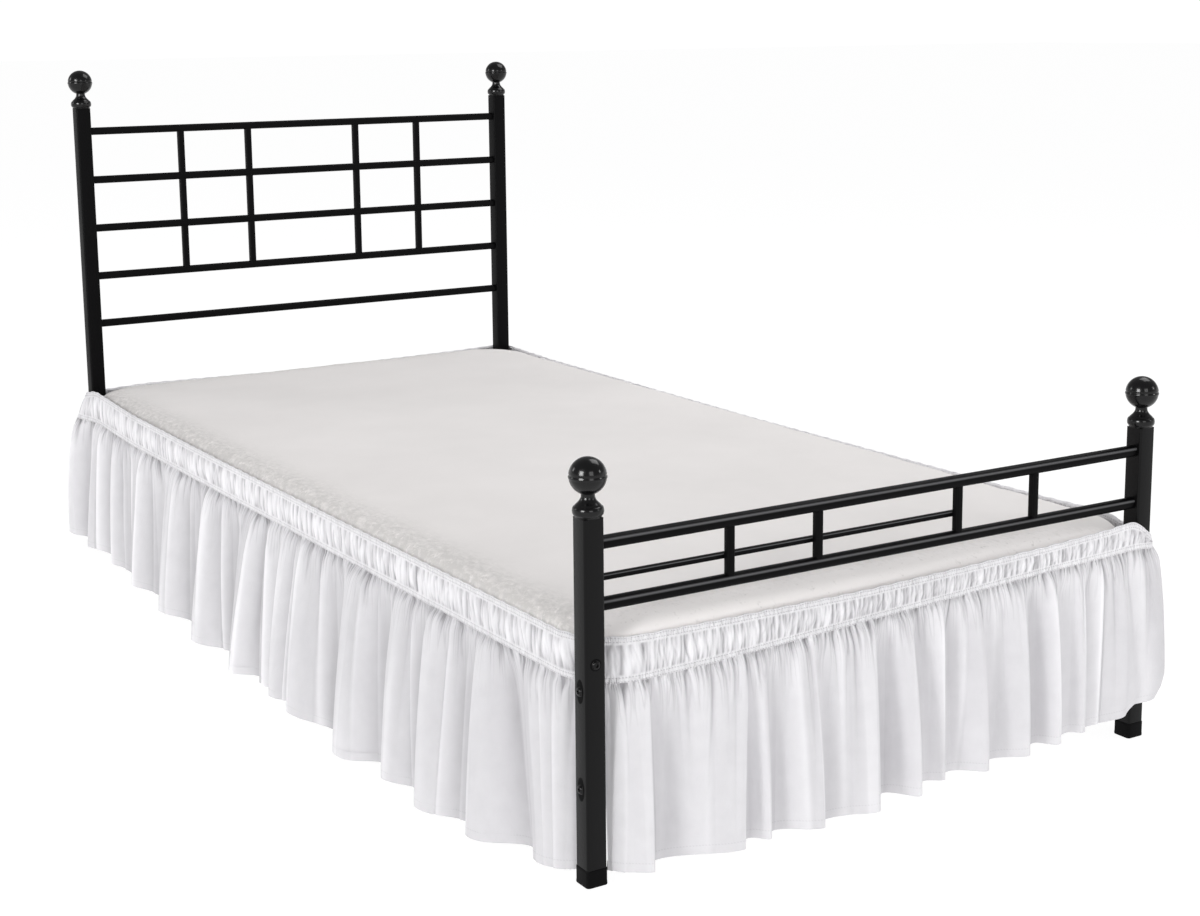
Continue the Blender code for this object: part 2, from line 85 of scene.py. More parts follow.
def grid_mesh(name, grids, closed_columns=False, capped=False, uv=None, layer=None):
    """A smooth mesh of one or more like grids of points [column, row, xyz].

    capped closes the first and last row of a grid whose columns are closed with a fan's centre.
    uv is a cloth's own coordinates, and layer the name and values of a number at each point.
    """
    grids = np.asarray(grids, dtype=float)
    if grids.ndim == 3:
        grids = grids[None]
    count, columns, rows, _ = grids.shape
    one = quads_of(columns, rows, closed_columns)
    faces = (np.arange(count)[:, None, None] * columns * rows + one).reshape(-1, 4).tolist()
    points = grids.reshape(-1, 3)
    if capped:
        i = np.arange(columns)
        for number in range(count):
            for row, flip in ((0, 1), (rows - 1, -1)):
                centre = len(points)
                points = np.vstack([points, grids[number, :, row].mean(axis=0)])
                ring = number * columns * rows + i * rows + row
                fan = np.stack([ring, np.full(columns, centre), np.roll(ring, -1)], axis=1)
                faces += fan[:, ::flip].tolist()
    mesh = bpy.data.meshes.new(name)
    mesh.from_pydata((points + BED).tolist(), [], faces)
    mesh.shade_smooth()
    if uv is not None:
        corner = np.empty(len(mesh.loops), dtype=np.int32)
        mesh.loops.foreach_get("vertex_index", corner)
        uv = uv.reshape(-1, 2)[corner].reshape(-1, 4, 2)
        along = uv[..., 0]
        wraps = np.ptp(along, axis=1, keepdims=True) > 1
        along[...] = np.where(wraps & (along < 1), along + LOOP, along)
        mesh.uv_layers.new(name="cloth").data.foreach_set("uv", uv.astype(np.float32).ravel())
    if layer is not None:
        label, value = layer
        value = np.append(value, np.zeros(len(points) - value.size)).astype(np.float32)
        mesh.attributes.new(label, "FLOAT", "POINT").data.foreach_set("value", value)
    return mesh


# ---------------------------------------------------------------- finishes

class Number:
    """A number that varies over a surface: arithmetic on it adds Math nodes to its tree."""

    def __init__(self, nodes, socket):
        self.nodes, self.socket = nodes, socket

    def math(self, operation, *terms):
        return self.nodes.add("ShaderNodeMath", {"operation": operation}, dict(enumerate(terms)))

    def __add__(self, other):
        return self.math("ADD", self, other)

    def __sub__(self, other):
        return self.math("SUBTRACT", self, other)

    def __rsub__(self, other):
        return self.math("SUBTRACT", other, self)

    def __mul__(self, other):
        return self.math("MULTIPLY", self, other)

    def __truediv__(self, other):
        return self.math("DIVIDE", self, other)

    def __gt__(self, other):
        return self.math("GREATER_THAN", self, other)

    __radd__ = __add__
    __rmul__ = __mul__

    def sine(self):
        return self.math("SINE", self)

    def near(self, place, width):
        """1 where this is at place, easing to 0 at width away from it."""
        away = self.math("ABSOLUTE", self - place)
        return self.math("SMOOTH_MAX", 1 - away / width, 0.0, 0.1)


class Nodes:
    """A node tree, and the one method that adds nodes to it."""

    def __init__(self, tree):
        self.tree = tree

    def add(self, kind, settings=None, sockets=None, out=0):
        """Adds a node: settings are its own properties, sockets its inputs by name or number."""
        node = self.tree.nodes.new(kind)
        for name, value in (settings or {}).items():
            if name == "stops":
                for stop, (place, shade) in zip(node.color_ramp.elements, value):
                    stop.position, stop.color = place, (*shade, 1)
            else:
                setattr(node, name, value)
        for name, value in (sockets or {}).items():
            if isinstance(value, Number):
                self.tree.links.new(value.socket, node.inputs[name])
            else:
                node.inputs[name].default_value = value
        return Number(self, node.outputs[out])


class Finish(Nodes):
    """One material: a Principled shader with its constants, and nodes added to vary it."""

    def __init__(self, name, slot, colour, **constants):
        self.material = bpy.data.materials.new(name)
        self.material.use_nodes = True
        super().__init__(self.material.node_tree)
        self.slot = slot
        self.shader = self.tree.nodes["Principled BSDF"]
        self.shader.inputs["Base Color"].default_value = (*colour, 1)
        for socket, value in constants.items():
            label = {"specular": "Specular IOR Level"}.get(socket, socket.replace("_", " ").title())
            self.shader.inputs[label].default_value = value

    def noise(self, scale, detail, stretch=(1, 1, 1), source="Object", rough=0.5):
        """A noise from 0 to 1 on the piece's own coordinates, scaled by stretch on each axis."""
        place = self.add("ShaderNodeTexCoord", out=source)
        where = self.add("ShaderNodeMapping", None, {"Vector": place, "Scale": stretch})
        return self.add("ShaderNodeTexNoise", None,
                        {"Vector": where, "Scale": scale, "Detail": detail, "Roughness": rough})

    def along_and_down(self):
        """The cloth's own coordinates in metres: along the strip, and down from its top."""
        place = self.add("ShaderNodeTexCoord", out="UV")
        split = self.add("ShaderNodeSeparateXYZ", None, {0: place})
        return split, Number(self, split.socket.node.outputs[1])

    def colour(self, amount, light, dark):
        """Base colour from dark to light by a number from 0 to 1."""
        mixed = self.add("ShaderNodeMix", {"data_type": "RGBA"},
                         {0: amount, 6: (*dark, 1), 7: (*light, 1)}, out=2)
        self.tree.links.new(mixed.socket, self.shader.inputs["Base Color"])

    def roughness(self, amount):
        self.tree.links.new(amount.socket, self.shader.inputs["Roughness"])

    def bumps(self, *layers):
        """Chained Bump nodes, each a (height, how far in metres the height 1 stands) pair."""
        normal = None
        for height, distance in layers:
            sockets = {"Height": height, "Distance": distance}
            if normal:
                sockets["Normal"] = normal
            normal = self.add("ShaderNodeBump", None, sockets)
        self.tree.links.new(normal.socket, self.shader.inputs["Normal"])


# The cloth's colour runs from light to grey: the grey end also carries painted shade.
CLOTH_LIGHT, CLOTH_GREY = (0.96, 0.95, 0.972), (0.38, 0.37, 0.39)
# In radians a metre, so that a thread is 1.2 mm wide.
WEAVE = 5200
# How far apart stitches are, and how far from a row's middle they reach.
STITCH_LONG, STITCH_WIDE = 0.0044, 0.0013
BLACK = (0.0022, 0.0021, 0.0024)
COVER_LIGHT, COVER_GREY = (0.985, 0.952, 0.938), (0.69, 0.669, 0.652)


def cloth_finish(name, stitch_rows, stitched, puckered, crumpled, creased):
    """Soft brushed white cloth: a fine weave, faint mottling, rows of stitches and puckers.

    stitch_rows are distances down the cloth, stitched how much they show, and puckered the
    (place, width) of each strip along a seam where the finest puckers show. crumpled is how high
    its crumples stand. creased is how much the finest creases show, and how far down they reach:
    they are where a noise, drawn out down the cloth, is near a half. Shade is painted into the
    cloth's colour inside its folds and creases and in the puckers' dips, and painted highlights
    on its crests and on the puckers' tops.
    """
    fine_shown, fine_reach = creased
    finish = Finish(name, "skirt_cloth", (0.74, 0.73, 0.76), roughness=0.9, sheen_weight=0.06,
                    sheen_roughness=0.4, specular=0.15)
    along, down = finish.along_and_down()
    painted_shade = finish.add("ShaderNodeAttribute", {"attribute_name": "painted_shade"}, out="Fac")
    weave = (along * WEAVE).sine() * (down * WEAVE).sine()
    mottle = finish.noise(38, 3)
    dash = ((along + 0.5 * down) * (2 * np.pi / STITCH_LONG)).sine() > -0.1
    row = sum(down.near(place, STITCH_WIDE) for place in stitch_rows)
    stitch = row * (0.15 + 0.85 * dash)
    strip = sum(down.near(*place) for place in puckered)
    puckers = (finish.noise(1.0, 1, (360, 60, 1), "UV") - 0.5) * strip
    crumple = finish.noise(1.0, 3, (130, 45, 1), "UV")
    fine = finish.noise(1.0, 1, (105, 7, 1), "UV").near(0.5, 0.05)
    fine = fine * down.math("MAXIMUM", 1 - down / fine_reach, 0.0)
    # Painted shade and highlights: the attribute read above, the fine creases and the puckers grey
    # or lighten the colour; the mottle is the cloth's own uneven tone.
    light = (0.71 - 0.78 * painted_shade - 0.14 * mottle - stitched * stitch + 0.9 * puckers
             - fine_shown * fine)
    finish.colour(light, CLOTH_LIGHT, CLOTH_GREY)
    finish.bumps((mottle, 0.0006), (crumple, crumpled), (puckers, 0.0050),
                 (1 - fine, 0.0012 * fine_shown), (1 - row, 0.0010 * stitched),
                 (stitch, 0.0005 * stitched), (weave, 0.00004))
    return finish


def black_finish(name, slot, roughness, coat, coat_roughness=0.12, line=0.0):
    """Smooth black paint with a faint orange-peel and uneven gloss.

    line is how light the painted highlight along a rail's upper rounding is.
    """
    finish = Finish(name, slot, BLACK, coat_weight=coat, coat_roughness=coat_roughness,
                    specular=0.06)
    finish.roughness(finish.noise(9, 4) * 0.16 + (roughness - 0.08))
    finish.bumps((finish.noise(220, 2), 0.00018))
    if line:
        # A painted highlight: lighter colour along a rail's upper rounding, where the paint catches
        # the light.
        painted_highlight = finish.add("ShaderNodeAttribute", {"attribute_name": "line"}, out="Fac")
        finish.colour(painted_highlight, (line, line, line * 1.03), BLACK)
    return finish


def cover_finish():
    """The box base's off-white cover: matt brushed cloth, greyer and flecked at its edge, and
    painted lighter along its foot edge.
    """
    finish = Finish("box_cover_cloth", "box_cover", (0.78, 0.76, 0.75), roughness=0.93,
                    sheen_weight=0.1, specular=0.2)
    edge = finish.add("ShaderNodeAttribute", {"attribute_name": "edge"}, out="Fac")
    broad, fine = finish.noise(2.6, 4, rough=0.6), finish.noise(60, 4, (2.0, 1, 1), rough=0.75)
    flecks = finish.noise(95, 2)
    light = 0.95 - 0.5 * broad + edge * (2.6 * fine - 1.85) + edge * (flecks > 0.64) * 0.4
    finish.colour(light, COVER_LIGHT, COVER_GREY)
    finish.bumps((broad, 0.003), (fine * edge, 0.0008), (finish.noise(600, 1), 0.0003))
    return finish


# ---------------------------------------------------------------- the skirt's line

POST_WIDE = 0.029
# The posts' middles, across and along the bed.
HALF_X, HALF_Y = 0.500, 1.022
# How far the line keeps off the posts' outer faces, and off the box at its rounded corner.
OFF_POST, OFF_BOX = 0.006, 0.0013
OUT_X, OUT_Y = HALF_X + POST_WIDE / 2 + OFF_POST, HALF_Y + POST_WIDE / 2 + OFF_POST
# The middles of the arcs at the box's corners, and their radius.
BOX_ARC = (0.419, 0.943)
BOX_ROUND = 0.0827
# The line's corners before they are rounded, from the foot-left one on, and each bend's radius.
LINE_ROUND = BOX_ROUND + OFF_BOX
BEND_ROUND = 0.020
CORNERS = (
    (-BOX_ARC[0] - LINE_ROUND, -BOX_ARC[1] - LINE_ROUND, LINE_ROUND),
    (-OUT_X, OUT_Y, BEND_ROUND),
    (OUT_X, OUT_Y, BEND_ROUND),
    (OUT_X, -OUT_Y, BEND_ROUND),
)
BEND_STEPS = 24


def skirt_line():
    """Points of the line in plan, ways along it and each bend's first and last point.

    A bend is an arc that is tangent to the two straight sides that meet there.
    """
    points, bends = [], []
    for i, (x, y, radius) in enumerate(CORNERS):
        here = np.array((x, y))
        back = np.array(CORNERS[i - 1][:2]) - here
        ahead = np.array(CORNERS[(i + 1) % 4][:2]) - here
        back, ahead = back / np.linalg.norm(back), ahead / np.linalg.norm(ahead)
        half = np.arccos(back @ ahead) / 2
        middle_way = (back + ahead) / np.linalg.norm(back + ahead)
        centre = here + middle_way * radius / np.sin(half)
        start = here + back * radius / np.tan(half) - centre
        turn = np.linspace(0, np.pi - 2 * half, BEND_STEPS + 1)
        angle = np.arctan2(start[1], start[0]) - turn
        bends.append((len(points), len(points) + BEND_STEPS))
        points.extend(centre + radius * np.stack([np.cos(angle), np.sin(angle)], axis=1))
    points = np.array(points + [points[0]])
    steps = np.linalg.norm(np.diff(points, axis=0), axis=1)
    return points, np.concatenate([[0.0], np.cumsum(steps)]), bends


LINE, WAY, BENDS = skirt_line()
LOOP = WAY[-1]
# Ways where the left side ends, the head side begins and ends, and the right side ends.
LEFT_STOP, HEAD_START = WAY[BENDS[1][0]], WAY[BENDS[1][1]]
HEAD_STOP, RIGHT_STOP = WAY[BENDS[2][0]], WAY[BENDS[3][0]]
# For each side its first corner, the axis that it is read by, its first post's place there, and
# the sign of the axis along it.
SIDES = {"left": (0, 1, -HALF_Y, 1), "head": (1, 0, -HALF_X, 1), "right": (2, 1, HALF_Y, -1),
         "front": (3, 0, HALF_X, -1)}


def way_at(side, at_mm):
    """The way along the line of a place in millimetres from the side's first post.

    Left and right are read by Y, head and front by X.
    """
    corner, axis, begin, sign = SIDES[side]
    first = sum(BENDS[corner]) // 2
    if side == "front":
        half = BEND_STEPS // 2 + 1
        spots = np.concatenate([LINE[first:, axis], LINE[1:half, axis]])
        ways = np.concatenate([WAY[first:], LOOP + WAY[1:half]])
    else:
        last = sum(BENDS[corner + 1]) // 2
        spots, ways = LINE[first:last + 1, axis], WAY[first:last + 1]
    return np.interp(at_mm / 1000, (spots - begin) * sign, ways)


def by_way(table):
    """Columns of a table of rows by side, whose first column, a place in mm, becomes a way."""
    rows = [(way_at(side, at), *rest) for side, rows in table.items() for at, *rest in rows]
    return np.array(rows).T


def on_line(way):
    """Points of the line in plan at these ways along it."""
    way = np.mod(way, LOOP)
    return np.stack([np.interp(way, WAY, LINE[:, 0]), np.interp(way, WAY, LINE[:, 1])], axis=-1)


def outward(way):
    """Outward unit direction: square to each side, turning only in the three far bends."""
    at, degrees = [0.0], [180.0]
    for number, (first, last) in enumerate(BENDS[1:]):
        at += [WAY[first], WAY[last]]
        degrees += [180.0 - 90.0 * number, 90.0 - 90.0 * number]
    angle = np.radians(np.interp(way, at, degrees))
    return np.stack([np.cos(angle), np.sin(angle)], axis=-1)


# By side: the place along it, and the heights of the band's top edge, of the seam under it and
# of the hem, all in millimetres.
HEIGHTS = {
    "left": ((0, 332, 269, 12), (500, 333, 271, 8), (1250, 335, 272, 8), (1750, 340, 274, 10),
             (1990, 352, 284, 20)),
    "head": ((-14, 338, 286, 32), (120, 344, 282, 20), (500, 337, 276, 14), (880, 342, 280, 18)),
    "right": ((-14, 346, 284, 24), (200, 340, 280, 16), (1000, 336, 276, 12),
              (1800, 340, 290, 30), (1960, 344, 300, 46)),
    "front": ((-15, 320, 308, 68), (0, 341, 311, 63), (25, 359, 312, 58), (70, 353, 309, 50),
              (200, 345, 304, 44), (350, 339, 296, 35), (560, 332, 285, 26), (800, 331, 272, 20),
              (1000, 332, 267, 18)),
}
HEIGHT_WAYS, *HEIGHT_COLUMNS = by_way(HEIGHTS)
# How far to each side of a place the heights are averaged.
HEIGHTS_SOFT = 0.018


def heights_at(way):
    """Top, seam and hem heights in metres, softly curved between the HEIGHTS rows."""
    spread = np.linspace(-HEIGHTS_SOFT, HEIGHTS_SOFT, 7)
    return [np.mean([np.interp(way + s, HEIGHT_WAYS, column / 1000, period=LOOP) for s in spread],
                    axis=0) for column in HEIGHT_COLUMNS]


def near_bend(way, number):
    """1 at the middle of a bend of the line, dying away on both sides as exp(-(way / 5 cm)^2)."""
    first, last = BENDS[number]
    return np.exp(-((way - (WAY[first] + WAY[last]) / 2) / 0.05)**2)


def corner_slant(way):
    """How much further out the seam stands than the band's top edge, round a far corner."""
    return 0.022 * near_bend(way, 1) + 0.003 * near_bend(way, 3)


def corner_curl(way):
    """How far the hem curls in under the ruffle's last fifth, at the foot-right corner."""
    return 0.014 * near_bend(way, 3)


# The least and most of the painted shade on a cloth: below 0 it is a painted highlight, lighter
# than flat cloth.
PAINTED_SHADE_RANGE = (-0.5, 1)


# ---------------------------------------------------------------- the ruffle

# The folds by side, in millimetres: the places along it of a crest and of the valley after it,
# each with how far the hem stands off the line there.
FOLDS = {
    "left": (
        (77, 30, 118, 10), (202, 67, 240, 42), (332, 80, 382, 42), (462, 71, 507, 38),
        (587, 89, 672, 42), (807, 75, 847, 49), (897, 68, 927, 48), (967, 58, 997, 44),
        (1052, 77, 1142, 30), (1257, 69, 1345, 26), (1467, 57, 1562, 20), (1667, 42, 1760, 14),
        (1832, 28, 1892, 8), (1972, 34, 2020, 14),
    ),
    "head": (
        (95, 46, 150, 16), (215, 52, 262, 20), (320, 40, 372, 10), (440, 50, 495, 22),
        (560, 56, 620, 14), (690, 44, 738, 18), (800, 50, 850, 14), (908, 40, 965, 12),
    ),
    "right": (
        (70, 40, 128, 14), (196, 56, 262, 24), (338, 66, 402, 30), (470, 60, 520, 34),
        (600, 74, 678, 38), (760, 64, 812, 40), (872, 72, 940, 36), (1030, 76, 1104, 34),
        (1186, 62, 1240, 38), (1306, 70, 1380, 32), (1462, 58, 1524, 28), (1600, 64, 1668, 22),
        (1742, 46, 1800, 18), (1872, 40, 1936, 12),
    ),
    "front": (
        (56, 16, 117, 3), (144, 18, 163, 3), (208, 28, 231, 3), (270, 32, 323, 6),
        (353, 36, 400, 3), (424, 22, 450, 8), (488, 46, 524, 5), (570, 52, 642, 28),
        (665, 52, 725, 18), (746, 38, 770, 18), (794, 45, 912, 6),
    ),
}
# The cloth's first end and its last knots, in millimetres: the place, how far the hem stands off,
# and the knot's kind, as in fold_knots.
LEFT_END = (3, 22, 0)
FRONT_END = ((934, 38, 1), (962, 30, 0), (980, 19, 0))
# How far the hem of each far corner's crest stands off, in millimetres.
CORNER_OUT = (50, 44, 25)
# The valley after a corner's crest: how far past the bend, and its share of the crest's reach.
CORNER_VALLEY = (0.022, 0.35)
# By way: how much further along the line a fold of the left side is at its seam than at its hem.
LEFT_LEAN = ((0, 0), (0.15, 0.085), (1.0, 0.076), (1.6, 0.062), (2.0, 0))
# Along the foot a fold is further back at its seam, by this share of its reach: place, share.
FRONT_LEAN = ((420, 0), (620, 0.46))
# By side: the place along it in millimetres, and how soon the ruffle flares out under its seam.
# 1 is straight to the hem, and more is sooner.
FLARES = {
    "left": ((100, 1.5), (1800, 1.3)),
    "head": ((30, 1.2), (250, 2.2)),
    "right": ((1000, 2.2), (1950, 2.6)),
    "front": ((60, 2.6), (300, 1.8), (1000, 1.7)),
}
# How far apart the columns of the cloth are, where its folds are fine and elsewhere.
FINE_APART, RUFFLE_APART, BAND_APART = 0.00115, 0.0048, 0.0036
# The rows near the seam, as shares of the ruffle's drop.
NEAR_SEAM = (0, 0.004, 0.010, 0.018, 0.028, 0.041, 0.058, 0.080, 0.108, 0.142)
# How far the ruffle's top stands off the line, and how far up behind the band's tape it goes.
RUFFLE_OFF_LINE, BEHIND_TAPE = 0.0018, 0.003
# The ruffle stays out by this much and more, and eases to it: it never passes inside the line.
LEAST_OUT, OUT_SOFT = 0.0008, 0.0006
# Where the hem's edge is in the cloth's own coordinates, and how deep the hem is.
RUFFLE_DROP, HEM_DEEP = 0.270, 0.013
# The rows of the turned hem: how far in and up from the lowest edge, and how far along the cloth.
HEM_ROWS = ((0.0006, -0.0006, 0.001), (0.0018, 0.0, 0.002), (0.0020, HEM_DEEP * 0.5, 0.009),
            (0.0014, HEM_DEEP, 0.016))
# Handle lengths at a crest and at a valley, as shares of the half fold's span.
EVEN = 1 / 3
TUCKED = (0.18, 0.84)
OPEN = (0.15, 0.45)
# By way, how much longer the handles at the crests are: most by the foot-left post, and more
# along the foot than on the right side.
ROUND_CRESTS = ((0.9, 3.4), (1.5, 1.4), (RIGHT_STOP - 0.1, 1.0), (RIGHT_STOP, 1.9))
# By way, the power of the drop by which the folds deepen: less is sooner under the seam.
DEEPEN = ((0.7, 0.45), (1.3, 0.6), (RIGHT_STOP - 0.05, 0.6), (RIGHT_STOP + 0.05, 0.42))
# By way: how strong the painted shade of the folds is, how light the painted highlights on their
# crests are, and how much painted shade the left side has all over.
SHADED = ((RIGHT_STOP - 0.05, 1), (RIGHT_STOP, 0.2), (RIGHT_STOP + 0.45, 0.3),
          (RIGHT_STOP + 0.6, 0.75))
CREST_PAINTED_LIGHT = ((0.1, 0.10), (0.6, 0.36))
LEFT_PAINTED_SHADE = ((0.2, 0.09), (0.9, 0.03))


def fold_knots():
    """Ways, hem reach and kind of each crest (1), valley (-1) and corner (0), from end to end."""
    ends = [("left", *LEFT_END), *(("front", *knot) for knot in FRONT_END)]
    knots = [(way_at(side, at), out, kind) for side, at, out, kind in ends]
    for side, folds in FOLDS.items():
        for crest, crest_out, valley, valley_out in folds:
            knots.append((way_at(side, crest), crest_out, 1))
            knots.append((way_at(side, valley), valley_out, -1))
    past, share = CORNER_VALLEY
    for (first, last), out in zip(BENDS[1:], CORNER_OUT):
        knots.append(((WAY[first] + WAY[last]) / 2, out, 1))
        knots.append((WAY[last] + past, out * share, -1))
    ways, outs, kinds = np.array(sorted(knots)).T
    return ways, outs / 1000, kinds


def eased(u):
    """0 to 1 with level ends: u^2 (3 - 2 u)."""
    return u * u * (3 - 2 * u)


def ruffle_columns(ways, outs):
    """For each column of the cloth: the number of its half fold and its place in it, 0 to 1.

    Columns are closer together on the left side and along the foot, where the folds are finest.
    """
    fine = (ways[1:] < HEAD_START) | (ways[:-1] > RIGHT_STOP)
    long = np.hypot(np.diff(ways), np.diff(outs) * 1.2)
    apart = np.where(fine, FINE_APART, RUFFLE_APART)
    counts = np.maximum(5, np.ceil(long / apart)).astype(int)
    number = np.repeat(np.arange(len(counts)), counts)
    place = np.concatenate([np.arange(n) / n for n in counts])
    return np.append(number, len(counts) - 1), np.append(place, 1.0)


def handles(ways, kinds, chance):
    """Handle lengths at both ends of each half fold, as shares of its span.

    Short handles at a crest turn the cloth tightly there. The flank that is turned away from the
    foot-left corner is tucked in right behind its crest, and the other one is open: on the left
    side a crest's later flank is the tucked one, and from the right side on its earlier one is.
    """
    falls = kinds[:-1] >= kinds[1:]
    tucked = falls == (ways[:-1] < HEAD_STOP)
    vary = chance.uniform(0.8, 1.2, len(falls))
    round_crest = np.interp(ways[:-1], *zip(*ROUND_CRESTS))
    crest = np.where(tucked, TUCKED[0], OPEN[0]) * vary * round_crest
    valley = np.where(tucked, TUCKED[1], OPEN[1]) * vary[::-1]
    plain = (kinds[:-1] == 0) | (kinds[1:] == 0)
    return (np.where(plain, EVEN, np.where(falls, crest, valley)),
            np.where(plain, EVEN, np.where(falls, valley, crest)))


# Kinds of crease: how far apart they are, and the least and most length, width at the seam and
# depth, all in metres; then how much they widen per metre of length.
Crease = namedtuple("Crease", "apart length width depth widening")
SEAM_DARTS = (
    Crease(0.0105, (0.009, 0.030), (0.0012, 0.0019), (0.0028, 0.0052), 0.020),
    Crease(0.0220, (0.022, 0.070), (0.0014, 0.0022), (0.0034, 0.0062), 0.026),
)
RUFFLE_CREASES = (
    Crease(0.0210, (0.050, 0.200), (0.0020, 0.0040), (0.0026, 0.0060), 0.026),
    Crease(0.0430, (0.160, 0.500), (0.0035, 0.0070), (0.0025, 0.0065), 0.018),
)
BAND_DARTS = (
    Crease(0.0065, (0.008, 0.026), (0.0008, 0.0014), (0.0014, 0.0034), 0.014),
    Crease(0.0140, (0.020, 0.070), (0.0009, 0.0016), (0.0016, 0.0036), 0.012),
)
# How many of them the left side has, as a share, and how much wider they are there.
LEFT_CREASES, LEFT_WIDER = 0.5, 2.2


def creases(place, fall, kinds, chance):
    """Inward depth of the gathers' creases at each point of the cloth, in metres.

    Each is a trough that starts at a seam, narrow and deep, widens on its way from it and dies
    away: exp(-|x / width|^1.2) across it, and (1 - fall / length)^1.2 down it. place is where
    the cloth's threads leave the seam, so that a crease keeps to the fold that it is in. The left
    side has half as many, wider ones.
    """
    depth = np.zeros(np.broadcast(place, fall).shape)
    for kind in kinds:
        at = np.arange(0, LOOP + 0.1, kind.apart)
        at = at + chance.uniform(-0.45, 0.45, len(at)) * kind.apart
        lean = chance.normal(0, 0.045, len(at))
        length, width, deep = (chance.uniform(*share, len(at)) for share in kind[1:4])
        at_left = at < LEFT_STOP
        width *= np.where(at_left, LEFT_WIDER, 1)
        deep *= ~at_left | (chance.random(len(at)) < LEFT_CREASES)
        for i in range(len(at)):
            near = np.flatnonzero(np.abs(place[:, 0] - at[i]) < 0.06)
            if not len(near):
                continue
            f = fall[near]
            across = (place[near] - at[i] - lean[i] * f) / (width[i] + kind.widening * f)
            fade = np.clip(1 - f / length[i], 0, 1)**1.2 * np.clip(f / 0.003, 0, 1)**0.5
            depth[near] += deep[i] * fade * np.exp(-np.abs(across)**1.2)
    return depth


# The smaller folds between the big ones, in metres: how far apart, how high and how long.
PLEAT_APART = (0.030, 0.088)
PLEAT_HIGH = (0.0025, 0.0095)
PLEAT_LONG = (0.16, 0.80)
PLEAT_CREST = 0.84
PLEATS = 161
# How strong they are by way: least behind the foot-left post, where the line ends.
PLEAT_STRONG = ((0, 0.3), (0.6, 0.55), (1.0, 1), (RIGHT_STOP, 1), (LOOP, 0.15))


def pleats(place, fall, chance):
    """How far the smaller folds stand out, in metres, and the crest lines along them, 0 to 1, where
    a highlight is painted.

    Each rises as s^1.5 with the share s of the way to its crest and drops back behind it, and
    (1 - fall / length)^0.7 makes it die away. They all turn their backs on the foot-left corner.
    """
    edges = np.cumsum(np.append(0, chance.uniform(*PLEAT_APART, PLEATS - 1)))
    lean = 0.045 * np.sin(place * 9.7 + 1) + 0.040 * np.sin(place * 23 + 2)
    spot = place + lean * fall
    here = np.searchsorted(edges, spot) - 1
    s = (spot - edges[here]) / (edges[here + 1] - edges[here])
    s = np.where(place < HEAD_STOP, s, 1 - s)
    rise = np.clip(s / PLEAT_CREST, 0, 1)**1.5
    drop = eased(np.clip((1 - s) / (1 - PLEAT_CREST), 0, 1))
    high, long = chance.uniform(*PLEAT_HIGH, PLEATS), chance.uniform(*PLEAT_LONG, PLEATS)
    fade = np.clip(1 - fall / long[here], 0, 1)**0.7 * np.clip(fall / 0.05, 0, 1)**0.9
    strong = np.interp(place, *zip(*PLEAT_STRONG)) * fade
    crest = np.exp(-((s - PLEAT_CREST) / 0.07)**2) * high[here] / PLEAT_HIGH[1]
    return high[here] * strong * (rise * drop - 0.4), crest * strong


